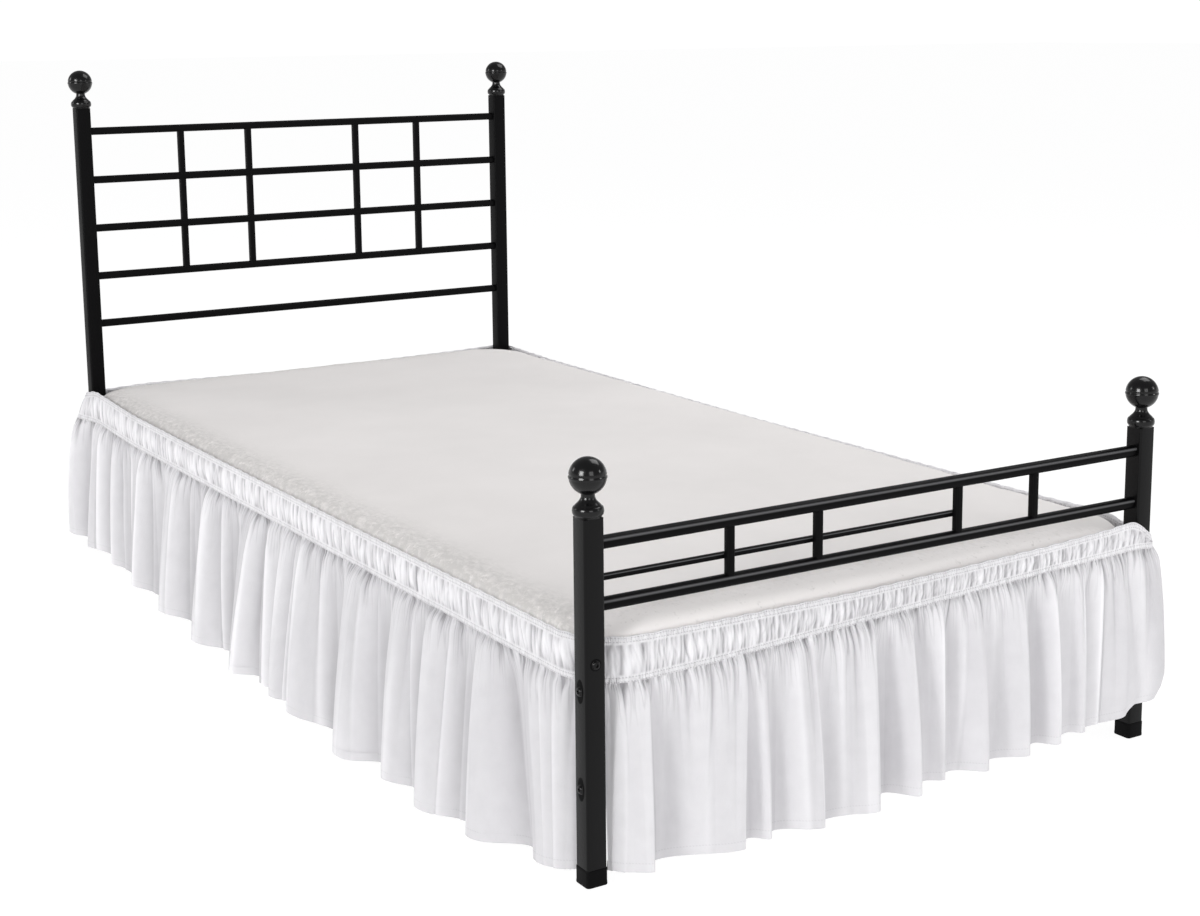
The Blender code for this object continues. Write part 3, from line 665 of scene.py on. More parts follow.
def ruffle_surface():
    """Points of the ruffle's cloth, its own coordinates, and its painted shade: how grey it is
    painted.

    Across: each half fold is a cubic Bezier from crest to valley whose handles lie along the
    line, so long handles tuck the flank in. Down: the mean reach opens as 1 - (1 - t)^flare of the
    drop t, and the folds deepen as t^power, by the DEEPEN table. Smaller folds and creases are
    added, and the last rows turn the hem under and up inside.
    """
    chance = np.random.default_rng(11)
    ways, outs, kinds = fold_knots()
    number, u = ruffle_columns(ways, outs)
    t = np.concatenate([NEAR_SEAM, np.linspace(0.18, 1, 11)])
    first, second = handles(ways, kinds, chance)
    drift = chance.normal(0, 0.16, len(ways)) * np.minimum(np.gradient(ways), 0.06)
    drift += np.interp(ways, *zip(*LEFT_LEAN))
    drift -= outs * np.interp(ways, *by_way({"front": FRONT_LEAN}))
    drift[[0, -1]] = 0
    settle = eased(np.clip(t / 0.18, 0, 1))[None, :]
    a = EVEN + (first[number][:, None] - EVEN) * settle
    b = EVEN + (second[number][:, None] - EVEN) * settle
    flare = np.interp(ways, *by_way(FLARES), period=LOOP)[number][:, None]
    start = ways[number][:, None] + drift[number][:, None] * (1 - t)**flare
    end = ways[number + 1][:, None] + drift[number + 1][:, None] * (1 - t)**flare
    u = u[:, None]
    share = 3 * (1 - u)**2 * u * a + 3 * (1 - u) * u**2 * (1 - b) + u**3
    way = start + (end - start) * share
    hem_out = outs[number][:, None] + (outs[number + 1] - outs[number])[:, None] * eased(u)
    mean = np.interp(way, (ways[1:] + ways[:-1]) / 2, (outs[1:] + outs[:-1]) / 2)
    _, seam, hem = heights_at(way)
    seam = seam + BEHIND_TAPE
    drop = seam - hem
    fall = drop * t
    deepen = np.interp(way, *zip(*DEEPEN))
    out = RUFFLE_OFF_LINE + mean * (1 - (1 - t)**flare) + (hem_out - mean) * t**deepen
    darts = creases(way[:, :1], fall, SEAM_DARTS, chance)
    inward = creases(way[:, :1], fall, RUFFLE_CREASES, chance)
    stands, crest = pleats(way[:, :1], fall, chance)

    # Painted shade and light: greyer low between the folds and in the darts and creases, painted
    # highlights on the crests and the smaller folds, painted lighter just under the seam, and
    # painted greyer on the left side, most near the foot.
    swing = np.abs(np.diff(outs))[number][:, None]
    deep = np.clip(swing / 0.030, 0, 1) * t**0.4
    low = np.clip((mean - hem_out) / (0.5 * swing + 0.001), -1, 1)
    shaded = np.interp(way, *zip(*SHADED))
    lit = np.interp(way, *zip(*CREST_PAINTED_LIGHT)) * shaded
    painted_shade = (0.55 * shaded * deep * (0.5 + 0.5 * low)**5 - lit * deep * np.clip(-low, 0, 1)**7
              + 0.95 * np.clip(darts / 0.0050, 0, 1)**1.2 + 0.5 * np.clip(inward / 0.009, 0, 1)**2
              - stands / 0.011 - 0.3 * crest - 0.33 * np.exp(-fall / 0.035)
              + np.interp(way, *zip(*LEFT_PAINTED_SHADE)) * (way < LEFT_STOP))

    slant, curl = corner_slant(way), corner_curl(way)
    out = out + 0.0060 * np.clip(fall / 0.018, 0, 1)**0.75 - darts - inward + stands
    out = LEAST_OUT + np.logaddexp(0, (out - LEAST_OUT) / OUT_SOFT) * OUT_SOFT
    out = out + slant * (1 - t) - curl * np.clip((t - 0.8) / 0.2, 0, 1)**2
    z = seam - fall
    line, direction = on_line(way), outward(way)
    grid = np.concatenate([line + direction * out[..., None], z[..., None]], axis=-1)

    edge, inside = grid[:, -1:], direction[:, -1:]
    hem_rows = []
    for inner, up, _ in HEM_ROWS:
        row = edge.copy()
        row[..., :2] -= inside * inner
        row[..., 2] += up
        hem_rows.append(row)
    steps = np.linalg.norm(np.diff(edge[:, 0], axis=0), axis=1)
    along = np.append(0, np.cumsum(steps))[:, None]
    down = fall + (RUFFLE_DROP - drop) * np.clip((t - 0.2) / 0.7, 0, 1)
    down = np.concatenate([down, down[:, -1:] + np.array(HEM_ROWS)[:, 2]], axis=1)
    uv = np.stack([np.broadcast_to(along, down.shape), down], axis=-1)
    painted_shade = np.pad(painted_shade, ((0, 0), (0, len(HEM_ROWS))), mode="edge")
    return np.concatenate([grid, *hem_rows], axis=1), uv, np.clip(painted_shade, *PAINTED_SHADE_RANGE)


# ---------------------------------------------------------------- the band

# Heights of the header and the seam tape, and of the band in the cloth's own coordinates.
HEADER, TAPE, BAND_TALL = 0.010, 0.009, 0.065
# Of the band's cloth: how far it stands off the line, and the least of that.
BAND_OFF_LINE, BAND_LEAST_OUT = 0.0022, 0.0010
# The band's top edge, turned over to the inside, as distances inwards and down.
TURNED_OVER = ((0.0012, 0.004), (0.0006, 0.0006))
# By side: the place along it, how far the gathers lean along the band from its top to its seam,
# and how far apart they are, all in millimetres.
GATHERS = {
    "left": ((0, -11, 11), (250, -6, 10), (700, -1, 12), (2000, 1, 17)),
    "head": ((500, 2, 10),),
    "right": ((100, -2, 10), (1000, 2, 9), (1900, 4, 10)),
    "front": ((150, 9, 12), (420, 9, 12), (620, 8, 12), (710, 3, 12), (790, -7, 13),
              (980, -12, 16)),
}
# By side: the place along it in millimetres, and how much painted light makes the band lighter
# than flat cloth.
BAND_PAINTED_LIGHT = {
    "left": ((0, 0.27), (700, 0.33), (1200, 0.36), (2000, 0.25)),
    "front": ((150, 0.40), (420, 0.26), (980, 0.26)),
}
# How wide a groove is on the left side, and elsewhere.
GROOVE_WIDE = (0.0018, 0.0011)
GATHER_WAYS, GATHER_LEAN, GATHER_APART = by_way(GATHERS)


def gather_centres(chance, share):
    """Ways of the grooves between gathers, unevenly a share of the GATHERS' distance apart."""
    at, ways = 0.0, []
    while at < LOOP:
        ways.append(at)
        apart = np.interp(at, GATHER_WAYS, GATHER_APART / 1000, period=LOOP)
        at += share * apart * chance.uniform(0.45, 1.55)
    return np.array(ways) * LOOP / at


def puffs(way, ways, chance):
    """How far the cloth puffs out between its grooves, and how deep the nearest groove is: it sets
    both the groove's depth and the painted shade in it.

    A puff is (4 f (1 - f))^0.6 of its own height, f being the share of the way across it, and a
    groove exp(-(distance / width)^1.5) of its own depth, wider on the left side.
    """
    ring = np.append(ways, LOOP)
    here = np.clip(np.searchsorted(ring, np.mod(way, LOOP), side="right") - 1, 0, len(ways) - 1)
    apart = np.diff(ring)
    wide = apart[here]
    f = (np.mod(way, LOOP) - ring[here]) / wide
    wide = wide / np.where(way < LEFT_STOP, *GROOVE_WIDE)
    height = chance.uniform(0.4, 1.0, len(ways)) * np.clip(apart / 0.012, 0.5, 1.3)
    depth = chance.uniform(0.1, 1.0, len(ways))
    groove = (depth[here] * np.exp(-(f * wide)**1.5)
              + depth[(here + 1) % len(ways)] * np.exp(-((1 - f) * wide)**1.5))
    return height[here] * (4 * f * (1 - f))**0.6, groove


def band_ways():
    """Ways of the band's columns, close together on the left side and along the foot."""
    ends = (0, HEAD_START, RIGHT_STOP, LOOP)
    runs = []
    for start, end, apart in zip(ends, ends[1:], (FINE_APART, BAND_APART, FINE_APART)):
        runs.append(np.linspace(start, end, int((end - start) / apart), endpoint=False))
    return np.concatenate(runs)[:, None]


def band_surface():
    """Points of the band's cloth, its own coordinates, and its painted shade, how grey it is
    painted, from inside the top edge to the seam.

    Two families of gathers puff out between the header and the seam tape, by (4 v (1 - v))^0.45
    of the way v down: one runs the whole way, and the other, finer, comes and goes. Both wander,
    and lean along the band by the GATHERS table, and short darts cut into them from the header
    and from the tape.
    """
    chance = np.random.default_rng(5)
    way = band_ways()
    top, seam, _ = heights_at(way)
    tall = top - seam
    lean = np.interp(way, GATHER_WAYS, GATHER_LEAN / 1000, period=LOOP)
    down = np.concatenate([
        np.tile([0.0, 0.0004, 0.0022, 0.0050, 0.0080, HEADER], (len(way), 1)),
        HEADER + (tall - HEADER - TAPE) * np.linspace(0, 1, 15)[1:-1],
        tall - TAPE + np.array([0.0, 0.0018, 0.0045, 0.0075, TAPE]),
    ], axis=1)
    v = np.clip((down - HEADER) / (tall - HEADER - TAPE), 0, 1)
    shifted = way - lean * (v - 0.5)
    wander = 0.0016 * np.sin(way * 47 + v * 4) + 0.0011 * np.sin(way * 131 + v * 7)
    coarse, groove = puffs(shifted + wander, gather_centres(chance, 1.0), chance)
    fine, crinkle = puffs(shifted - 1.4 * wander, gather_centres(chance, 0.6), chance)
    comes = 0.5 + 0.5 * np.sin(way * 61 + v * 3.1) * np.sin(way * 23 + 1.0)
    groove = groove * (0.55 + 0.45 * np.sin(way * 173 + v * 4.4)) + 0.7 * crinkle * comes
    swell = (4 * v * (1 - v))**0.45
    darts = (creases(way, (tall - TAPE - down) * (v > 0), BAND_DARTS, chance)
             + creases(way, (down - HEADER) * (v < 1), BAND_DARTS, chance)) * (v > 0) * (v < 1)
    puffed = 0.0006 + 0.0023 * coarse + 0.0012 * fine * comes - 0.0012 * groove
    out = BAND_OFF_LINE + swell * puffed - darts
    header = np.clip(1 - down / HEADER, 0, 1)
    tape = np.clip((down - (tall - TAPE)) / 0.001, 0, 1)
    out = out + 0.0003 * coarse * (1 - v) + tape * (0.0002 + 0.0003 * np.sin(way * 1100 + v))
    out[:, [0, -1]] -= 0.0006
    out = np.maximum(out, BAND_LEAST_OUT) + corner_slant(way) * np.clip(down / tall, 0, 1)
    z = top - down + 0.0006 * np.sin(way * 190) * header

    # The top edge turned over to the inside, and the last row turned up behind the seam.
    inwards, below = np.array(TURNED_OVER).T
    out = np.concatenate([-inwards + 0 * way, out, corner_slant(way) + 0.0006], axis=1)
    z = np.concatenate([z[:, :1] - below, z, z[:, -1:] + 0.004], axis=1)
    down = np.concatenate([down[:, :1] - below, down, down[:, -1:] + 0.004], axis=1)
    v = np.clip((down - HEADER) / (tall - HEADER - TAPE), 0, 1)
    # Painted shade: greyer in the grooves and darts, painted highlights on the puffs, and the whole
    # band painted lighter by side.
    painted_shade = (swell * (0.02 - 0.19 * coarse - 0.14 * fine * comes + 0.7 * groove)
              + 0.85 * np.clip(darts / 0.0026, 0, 1) - np.interp(way, *by_way(BAND_PAINTED_LIGHT)))
    painted_shade = np.pad(painted_shade, ((0, 0), (len(TURNED_OVER), 1)), mode="edge")
    line = on_line(way)
    ahead, behind = on_line(way + 0.002), on_line(way - 0.002)
    tangent = (ahead - behind) / np.linalg.norm(ahead - behind, axis=-1, keepdims=True)
    direction = np.stack([-tangent[..., 1], tangent[..., 0]], axis=-1)
    grid = np.concatenate([line + direction * out[..., None], z[..., None]], axis=-1)
    uv = np.stack([np.broadcast_to(way, down.shape), down + (BAND_TALL - tall) * v], axis=-1)
    return grid, uv, np.clip(painted_shade, *PAINTED_SHADE_RANGE)


# Rows of stitches, and places and widths of puckered strips, down each cloth.
BAND_STITCHES = (0.0024, 0.0078, BAND_TALL - 0.0074, BAND_TALL - 0.0016)
BAND_PUCKERED = ((HEADER / 2, 0.007), (BAND_TALL - TAPE / 2, 0.008))
HEM_STITCHES = (RUFFLE_DROP - 0.012,)
SEAM_PUCKERED = ((0.005, 0.010),)


def make_skirt():
    """The gathered band and the ruffle that hangs from it, as two sheets of cloth."""
    grid, uv, painted_shade = band_surface()
    mesh = grid_mesh("band", grid, closed_columns=True, uv=uv, layer=("painted_shade", painted_shade))
    finish = cloth_finish("band_cloth", BAND_STITCHES, 0.5, BAND_PUCKERED, 0.0026, (0.10, 0.2))
    band = add_piece("skirt_band_gathered", mesh, finish, "skirt_band")
    grid, uv, painted_shade = ruffle_surface()
    mesh = grid_mesh("ruffle", grid, uv=uv, layer=("painted_shade", painted_shade))
    finish = cloth_finish("ruffle_cloth", HEM_STITCHES, 0.14, SEAM_PUCKERED, 0.0009,
                          (0.36, 0.065))
    ruffle = add_piece("skirt_ruffle_folds", mesh, finish, "skirt_ruffle")


# ---------------------------------------------------------------- the box base

BOX_TOP = 0.350
BOX_LOW = 0.1706
# How far in and how far down the soft shoulder reaches from the box's side and top.
SHOULDER = (0.040, 0.019)
# How far apart the cover's columns are along the straight sides.
COVER_APART = 0.012
# How much wider the box is at its head end, as a share, where the skirt is wider too.
HEAD_WIDER = 0.019
# The grey edge's width by X: it is narrow at the foot-right corner.
EDGE_REACH = ((0.30, 0.046), (0.44, 0.012))
QUARTERS = ((1, 1), (-1, 1), (-1, -1), (1, -1))


def box_outline():
    """Points round the box in plan, anticlockwise: four arcs, and the straight sides in steps."""
    quarter = np.linspace(0, np.pi / 2, 13)
    angle = np.concatenate([quarter + np.pi / 2 * i for i in range(4)])
    sign = np.repeat(QUARTERS, 13, axis=0)
    corner = sign * BOX_ARC + BOX_ROUND * np.stack([np.cos(angle), np.sin(angle)], axis=1)
    outline = []
    for a, b in zip(corner, np.roll(corner, -1, axis=0)):
        n = max(1, int(np.linalg.norm(b - a) / COVER_APART))
        outline.extend(a + (b - a) * k / n for k in range(n))
    return np.array(outline)


def make_box_cover():
    """The covered slab: rounded-rectangle rings carried up its side, over a soft shoulder and in
    to the middle of the top.

    Towards the head it is a little wider, as the skirt is. The shoulder is a quarter of an
    ellipse, and the top ripples near it: sin x sin, dying away as exp(-distance / 0.1). The grey
    of the edge dies away as exp(-(distance / reach)^2), and along the foot it turns to painted
    light, lighter than the rest of the cover.
    """
    outline = box_outline()
    turn = np.linspace(0, np.pi / 2, 12)
    inset = np.concatenate([[0.02, 0.006, 0, 0], SHOULDER[0] * (1 - np.cos(turn)),
                            SHOULDER[0] + np.array([0.012, 0.026, 0.042, 0.06, 0.08, 0.1, 0.13])])
    height = np.concatenate([[BOX_LOW, BOX_LOW, BOX_LOW + 0.006, 0.26],
                             BOX_TOP - SHOULDER[1] * (1 - np.sin(turn)), [BOX_TOP] * 7])
    half = np.array(BOX_ARC) + BOX_ROUND
    rings = [np.column_stack([outline * (half - step) / half, np.full(len(outline), z)])
             for step, z in zip(inset, height)]
    last = rings[-1]
    rings += [last * (share, share, 1) for share in np.linspace(0.94, 0.02, 22)]
    grid = np.stack(rings, axis=1)
    x, y = grid[..., 0], grid[..., 1]
    away = np.minimum(half[0] - np.abs(x), half[1] - np.abs(y))
    ripple = (0.0010 * np.sin(x * 31 + 3 * np.sin(y * 7)) * np.sin(y * 23 + 2 * np.sin(x * 11))
              + 0.0007 * np.sin(x * 83 + 4 * np.sin(y * 19)) * np.sin(y * 71 + 3 * np.sin(x * 29)))
    top = np.clip((grid[..., 2] - BOX_TOP + SHOULDER[1]) / SHOULDER[1], 0, 1)
    grid[..., 2] += top * (ripple * np.exp(-away / 0.10) - 0.0010)
    grid[..., 0] *= (1 + HEAD_WIDER * np.clip((y + 0.9) / 1.8, 0, 1)
                     * np.clip(1 - away / 0.3, 0, 1))
    # Along the foot the edge number goes below 0: painted light on the foot's edge.
    at_foot = np.clip((half[0] - np.abs(x) - half[1] - y) / 0.02, 0, 1)
    edge = np.exp(-(away / np.interp(x, *zip(*EDGE_REACH)))**2) * (1 - 2.1 * at_foot)
    mesh = grid_mesh("box_cover", grid, closed_columns=True, capped=True, layer=("edge", edge))
    add_piece("box_base_cover", mesh, cover_finish(), "box_base")


# ---------------------------------------------------------------- the metal bed

# Points on each rounding of a tube, and round a finial and a bolt.
ROUNDING_STEPS, TURNED_STEPS, BOLT_STEPS = 5, 56, 28


def rounded_square(wide, rounding):
    """Outline of a square tube, anticlockwise, as (x, y) points."""
    turn = np.linspace(0, np.pi / 2, ROUNDING_STEPS)
    outline = []
    for number, quarter in enumerate(QUARTERS):
        angle = turn + np.pi / 2 * number
        centre = np.array(quarter) * (wide / 2 - rounding)
        outline.append(centre + rounding * np.stack([np.cos(angle), np.sin(angle)], axis=1))
    return np.concatenate(outline)


def tubes(name, spans, size, finish, nodes):
    """Square tubes between pairs of points that differ on one axis, as one piece.

    size is their width and the rounding of their edges. A level tube's line, a painted
    highlight, is 1 low on its upper roundings, where the paint catches the light.
    """
    outline = rounded_square(*size)
    turn = np.linspace(0, np.pi / 2, ROUNDING_STEPS)
    up = np.sin(np.add.outer(np.arange(4) * np.pi / 2, turn).ravel())
    grids, highlight_lines = [], []
    for start, end in spans:
        start, end = np.array(start, float), np.array(end, float)
        axis = int(np.argmax(np.abs(end - start)))
        across = [[1, 2], [2, 0], [0, 1]][axis]
        grid = np.empty((len(outline), 2, 3))
        grid[..., axis] = max(start[axis], end[axis]), min(start[axis], end[axis])
        grid[..., across] = (start[across] + outline)[:, None]
        grids.append(grid)
        # The line for the painted highlight, on level tubes only.
        highlight_lines.append(np.repeat(np.exp(-((up - 0.38) / 0.12)**2) * (axis == 0), 2))
    mesh = grid_mesh(name, grids, closed_columns=True, capped=True, layer=("line", np.array(highlight_lines)))
    mesh.set_sharp_from_angle(angle=np.radians(50))
    return add_piece(name, mesh, finish, *nodes)


def turned(name, profile, centre, finish, node):
    """A profile of (radius, height) points, from the top down, turned about a vertical axis."""
    angle = np.linspace(0, 2 * np.pi, TURNED_STEPS, endpoint=False)[:, None]
    radius, height = np.array(profile).T
    grid = np.stack([centre[0] + radius * np.cos(angle), centre[1] + radius * np.sin(angle),
                     centre[2] + height + 0 * angle], axis=-1)
    mesh = grid_mesh(name, grid, closed_columns=True, capped=True)
    mesh.set_sharp_from_angle(angle=np.radians(42))
    return add_piece(name, mesh, finish, node)


FOOT_TOP = 0.4995
HEAD_TOP = 0.950
CAP_TALL = 0.024
# How far a post's face stands off the frame's.
FACE_PROUD = 0.0007
# The square tubes' widths, and the rounding of their edges.
POST_TUBE = (POST_WIDE + 2 * FACE_PROUD, 0.0035)
HEAD_RAIL, HEAD_UPRIGHT = (0.0155, 0.0050), (0.0135, 0.0030)
FOOT_RAIL, FOOT_UPRIGHT, THIN_BAR = (0.0172, 0.0066), (0.012, 0.0030), (0.009, 0.0030)
# Heights of the rails and places of the uprights across the bed.
HEAD_RAILS = [0.489 + 0.103 * i for i in range(5)]
FOOT_RAILS = (0.3805, 0.463)
HEAD_UPRIGHTS = (-0.285, -0.130, 0.130, 0.285)
FOOT_UPRIGHTS = (-0.278, -0.128, 0.128, 0.278)
# The thin bar's height, how far it is behind the foot rails, and its right end.
THIN_BAR_HIGH, THIN_BAR_BEHIND, THIN_BAR_END = 0.413, 0.0103, 0.134


def finial_profile():
    """A ball with a fine seam round its middle, over a waisted neck and a ringed collar.

    The ball's radius, how high its middle is above the post and the neck's radius come first.
    """
    ball, above, neck = 0.025, 0.054, 0.009
    angle = np.linspace(0.06, np.pi - np.arcsin(neck / ball), 64)
    seam = np.exp(-((angle - 1.62) / 0.05)**4) - 1.4 * np.exp(-((angle - 1.50) / 0.03)**2)
    radius = ball * np.sin(angle) + 0.0006 * seam
    points = list(zip(radius, above + ball * np.cos(angle)))
    points += [(0.0092, 0.0272), (0.0097, 0.0252), (0.0110, 0.0228), (0.0130, 0.0202),
               (0.0153, 0.0180), (0.0172, 0.0162), (0.0176, 0.0153), (0.0184, 0.0148),
               (0.0196, 0.0138), (0.0205, 0.0118), (0.0209, 0.0088), (0.0207, 0.0058),
               (0.0196, 0.0034), (0.0178, 0.0022), (0.0175, 0.0004)]
    return points


# The black finishes: posts, headboard, footboard rails, finials, caps, bolts and their plates.
Blacks = namedtuple("Blacks", "paint head_paint rail_paint gloss plastic bolt_metal plate")


def make_bed(blacks):
    """Posts, finials, caps, head and foot rails with their uprights, bolts and their plates."""
    reach = HALF_X - POST_WIDE / 2
    for end in ENDS:
        x = -HALF_X if "left" in end else HALF_X
        y = -HALF_Y if "foot" in end else HALF_Y
        top = FOOT_TOP if "foot" in end else HEAD_TOP
        tubes(f"post_tube_{end}", [((x, y, CAP_TALL - 0.004), (x, y, top))], POST_TUBE,
              blacks.paint if "foot" in end else blacks.head_paint, [f"post_{end}"])
        turned(f"ball_finial_{end}", finial_profile(), (x, y, top), blacks.gloss, f"finial_{end}")
        make_cap(end, x, y, blacks.plastic)

    tubes("headboard_rails", [((-reach, HALF_Y, z), (reach, HALF_Y, z)) for z in HEAD_RAILS],
          HEAD_RAIL, blacks.head_paint, [f"head_rail_{i}" for i in range(1, 6)])
    low, high = HEAD_RAILS[1], HEAD_RAILS[4]
    tubes("headboard_uprights", [((x, HALF_Y, low), (x, HALF_Y, high)) for x in HEAD_UPRIGHTS],
          HEAD_UPRIGHT, blacks.head_paint,
          [f"head_upright_{i}_{j}" for i in range(1, 5) for j in range(1, 4)])
    tubes("footboard_rails", [((-reach, -HALF_Y, z), (reach, -HALF_Y, z)) for z in FOOT_RAILS],
          FOOT_RAIL, blacks.rail_paint, ["foot_rail_1", "foot_rail_2"])
    low, high = FOOT_RAILS
    tubes("footboard_uprights", [((x, -HALF_Y, low), (x, -HALF_Y, high)) for x in FOOT_UPRIGHTS],
          FOOT_UPRIGHT, blacks.rail_paint, [f"foot_upright_{i}_1" for i in range(1, 5)])
    y = -HALF_Y + THIN_BAR_BEHIND
    tubes("footboard_thin_bar", [((-reach, y, THIN_BAR_HIGH), (THIN_BAR_END, y, THIN_BAR_HIGH))],
          THIN_BAR, blacks.rail_paint, ["foot_thin_bar"])
    proud = POST_WIDE / 2 + FACE_PROUD
    for node, centre, axis in (("bolt_side_1", (-HALF_X - proud, -HALF_Y, 0.268), 0),
                               ("bolt_side_2", (-HALF_X - proud, -HALF_Y, 0.134), 0),
                               ("bolt_foot", (-HALF_X, -HALF_Y - proud, 0.3055), 1)):
        make_bolt(f"{node}_head", BOLT_HEAD, 1.0, centre, axis, blacks.bolt_metal, node)
        make_bolt(f"{node}_plate", BOLT_PLATE, PLATE_TALL[axis], centre, axis, blacks.plate, node)


# Profiles from the middle out: radius, and how far it stands off the post's face, in millimetres.
BOLT_HEAD = ((2.2, 1.5), (2.5, 3.1), (3.0, 3.5), (4.4, 3.3), (5.3, 2.6), (5.7, 1.6),
             (5.8, 0.9), (6.0, 0.7), (6.5, 0.6), (6.5, -0.4))
BOLT_PLATE = ((5.5, 0.3), (7.6, 0.35), (8.2, 0.2), (8.3, -0.4))
# How many times as tall as wide a plate is: on the post's side, and on its foot face.
PLATE_TALL = (2.0, 1.0)


def make_bolt(name, profile, tall, centre, axis, finish, node):
    """A bolt's head, or the plate under it: its profile turned about the face's normal, and made
    tall times as high as it is wide."""
    angle = np.linspace(0, 2 * np.pi, BOLT_STEPS, endpoint=False)[:, None]
    radius, proud = np.array(profile).T / 1000
    grid = np.empty((BOLT_STEPS, len(radius), 3))
    grid[..., axis] = centre[axis] - proud
    grid[..., 1 - axis] = centre[1 - axis] + radius * np.cos(angle)
    grid[..., 2] = centre[2] + radius * tall * np.sin(angle) * (1 if axis else -1)
    mesh = grid_mesh(name, grid, closed_columns=True, capped=True)
    mesh.set_sharp_from_angle(angle=np.radians(40))
    add_piece(name, mesh, finish, node)


# A foot cap's outline widths and their heights, from its lip, over and in, down to the floor.
CAP_ROWS = ((0.0290, 0.0242), (0.0300, 0.0246), (0.0318, 0.0240), (0.0324, 0.0222),
            (0.0322, 0.0200), (0.0322, 0.0060), (0.0328, 0.0024), (0.0322, 0.0006), (0.0300, 0.0))
CAP_ROUNDING = 0.0045


def make_cap(end, x, y, plastic):
    """A plastic foot cap: square rings that flare to its foot, with a rolled lip at its top."""
    rings = []
    for wide, z in CAP_ROWS:
        outline = rounded_square(wide, CAP_ROUNDING) + (x, y)
        rings.append(np.column_stack([outline, np.full(len(outline), z)]))
    mesh = grid_mesh(f"cap_{end}", np.stack(rings, axis=1), closed_columns=True, capped=True)
    mesh.set_sharp_from_angle(angle=np.radians(40))
    add_piece(f"plastic_cap_{end}", mesh, plastic, f"foot_cap_{end}")


# ---------------------------------------------------------------- studio

FLOOR_HALF, FLOOR_LOW = 60, -0.0005
# The sky is bright level with the floor and greyer from there up: stops by height, and colours.
SKY = ((0.075, (1.04, 1.04, 1.04)), (0.20, (0.36, 0.36, 0.365)))
Lamp = namedtuple("Lamp", "name place size power")
LAMPS = (
    Lamp("left", (-6.8, -3.0, 3.2), 1.4, 150),
    Lamp("foot", (-1.4, -7.2, 3.2), 2.8, 92),
    Lamp("left_rim", (-5.0, 4.6, 3.0), 1.6, 40),
    Lamp("right_rim", (5.0, -5.0, 3.0), 1.2, 34),
    Lamp("top", (2.6, 0.0, 4.6), 2.8, 90),
    Lamp("gloss", (-6.8, -3.0, 3.2), 3.0, 520),
)
LIT_SPOT = np.array((0.0, 0.0, 0.2))


def make_floor():
    """A pale floor that is wide enough to reach the horizon."""
    r, z = FLOOR_HALF, FLOOR_LOW
    mesh = bpy.data.meshes.new("floor")
    mesh.from_pydata([(-r, -r, z), (r, -r, z), (r, r, z), (-r, r, z)], [], [(0, 1, 2, 3)])
    floor = bpy.data.objects.new("floor", mesh)
    bpy.context.scene.collection.objects.link(floor)
    pale = Finish("floor_pale", None, (0.18, 0.18, 0.18), roughness=0.9, specular=0.0,
                  emission_color=(1, 1, 1, 1), emission_strength=0.92)
    mesh.materials.append(pale.material)


def make_studio():
    """The floor, the sky, and soft square lamps that face the bed.

    The lamp named gloss shows only in gloss and reflections, and doesn't light matt surfaces.
    """
    make_floor()
    world = bpy.data.worlds.new("studio")
    bpy.context.scene.world = world
    world.use_nodes = True
    sky = Nodes(world.node_tree)
    where = sky.add("ShaderNodeTexCoord", out="Generated")
    height = sky.add("ShaderNodeSeparateXYZ", None, {0: where}, out="Z")
    ramp = sky.add("ShaderNodeValToRGB", {"stops": SKY}, {0: height})
    sky.tree.links.new(ramp.socket, sky.tree.nodes["Background"].inputs["Color"])
    for name, place, size, power in LAMPS:
        light = bpy.data.lights.new(name, "AREA")
        light.size, light.energy = size, power
        lamp = bpy.data.objects.new(name, light)
        lamp.location = place
        lamp.rotation_euler = direction_to_euler(LIT_SPOT - place)
        lamp.visible_diffuse = name != "gloss"
        bpy.context.scene.collection.objects.link(lamp)
    bpy.context.scene.view_settings.view_transform = "Standard"
    bpy.context.scene.view_settings.look = "None"


def direction_to_euler(aim):
    """Turn about X, then about Z, that points an object's -Z along aim."""
    flat = np.hypot(aim[0], aim[1])
    return (np.arctan2(flat, -aim[2]), 0.0, np.arctan2(-aim[0], aim[1]))


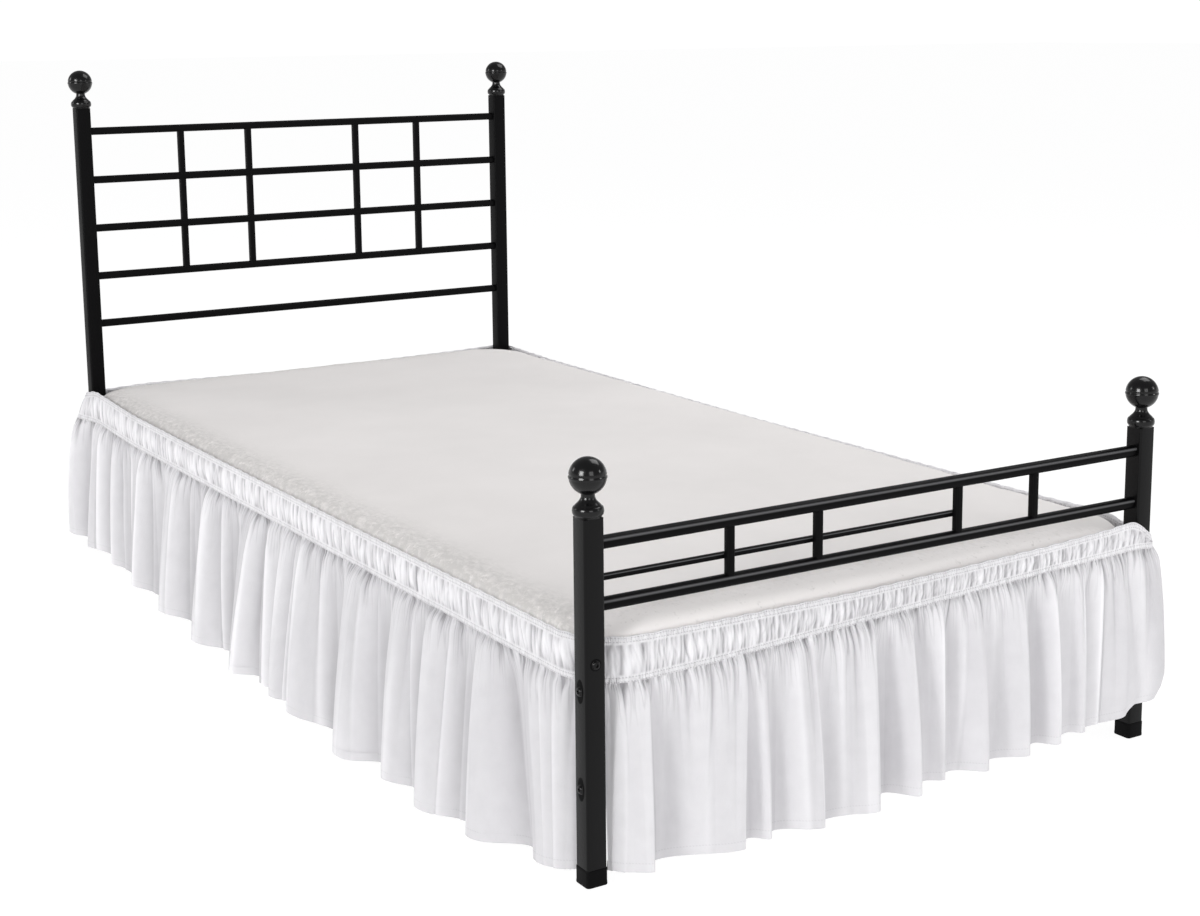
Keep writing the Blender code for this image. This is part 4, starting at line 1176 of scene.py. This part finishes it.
CAMERA_PLACE = (-1.7602, -3.0933, 1.125)
# Its turn to the left, its tilt down and its roll, in degrees.
CAMERA_TURN = (-31.7145, 10.2882, -0.5118)
# In millimetres, and the shift as a share of the frame.
LENS, SENSOR, SHIFT = 58.58, 36.0, -0.07


def make_camera():
    """The camera beyond the foot-left corner, a metre up and looking slightly down."""
    place = np.array(CAMERA_PLACE) + BED
    yaw, pitch, roll = np.radians(CAMERA_TURN)
    ahead = np.array((-np.sin(yaw) * np.cos(pitch), np.cos(yaw) * np.cos(pitch), -np.sin(pitch)))
    right = np.cross(ahead, (0, 0, 1))
    right /= np.linalg.norm(right)
    up = np.cross(right, ahead)
    rolled_right = np.cos(roll) * right + np.sin(roll) * up
    rolled_up = -np.sin(roll) * right + np.cos(roll) * up
    data = bpy.data.cameras.new("camera")
    data.lens, data.sensor_width, data.shift_y = LENS, SENSOR, SHIFT
    data.clip_end = 200
    camera = bpy.data.objects.new("camera", data)
    bpy.context.scene.collection.objects.link(camera)
    matrix = np.eye(4)
    matrix[:3] = np.column_stack([rolled_right, rolled_up, -ahead, place])
    camera.matrix_world = Matrix(matrix)
    bpy.context.scene.camera = camera


make_camera()
make_studio()
make_skirt()
make_box_cover()
blacks = Blacks(
    paint=black_finish("frame_black_paint", "frame_paint", 0.32, 0.21),
    head_paint=black_finish("head_black_paint", "frame_paint", 0.5, 0.02),
    rail_paint=black_finish("rail_black_paint", "frame_paint", 0.42, 0.0, line=0.13),
    gloss=black_finish("finial_black_gloss", "frame_paint", 0.30, 0.5),
    plastic=black_finish("cap_black_plastic", "cap_plastic", 0.55, 0.0),
    bolt_metal=black_finish("bolt_black_metal", "bolt_metal", 0.26, 0.4, coat_roughness=0.10),
    plate=black_finish("bolt_plate_black", "bolt_metal", 0.7, 0.0),
)
make_bed(blacks)
for node in ("side_rail_left", "side_rail_right", *(f"slat_{i}" for i in range(1, 6))):
    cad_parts[node].data.materials.clear()
    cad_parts[node].data.materials.append(blacks.paint.material)
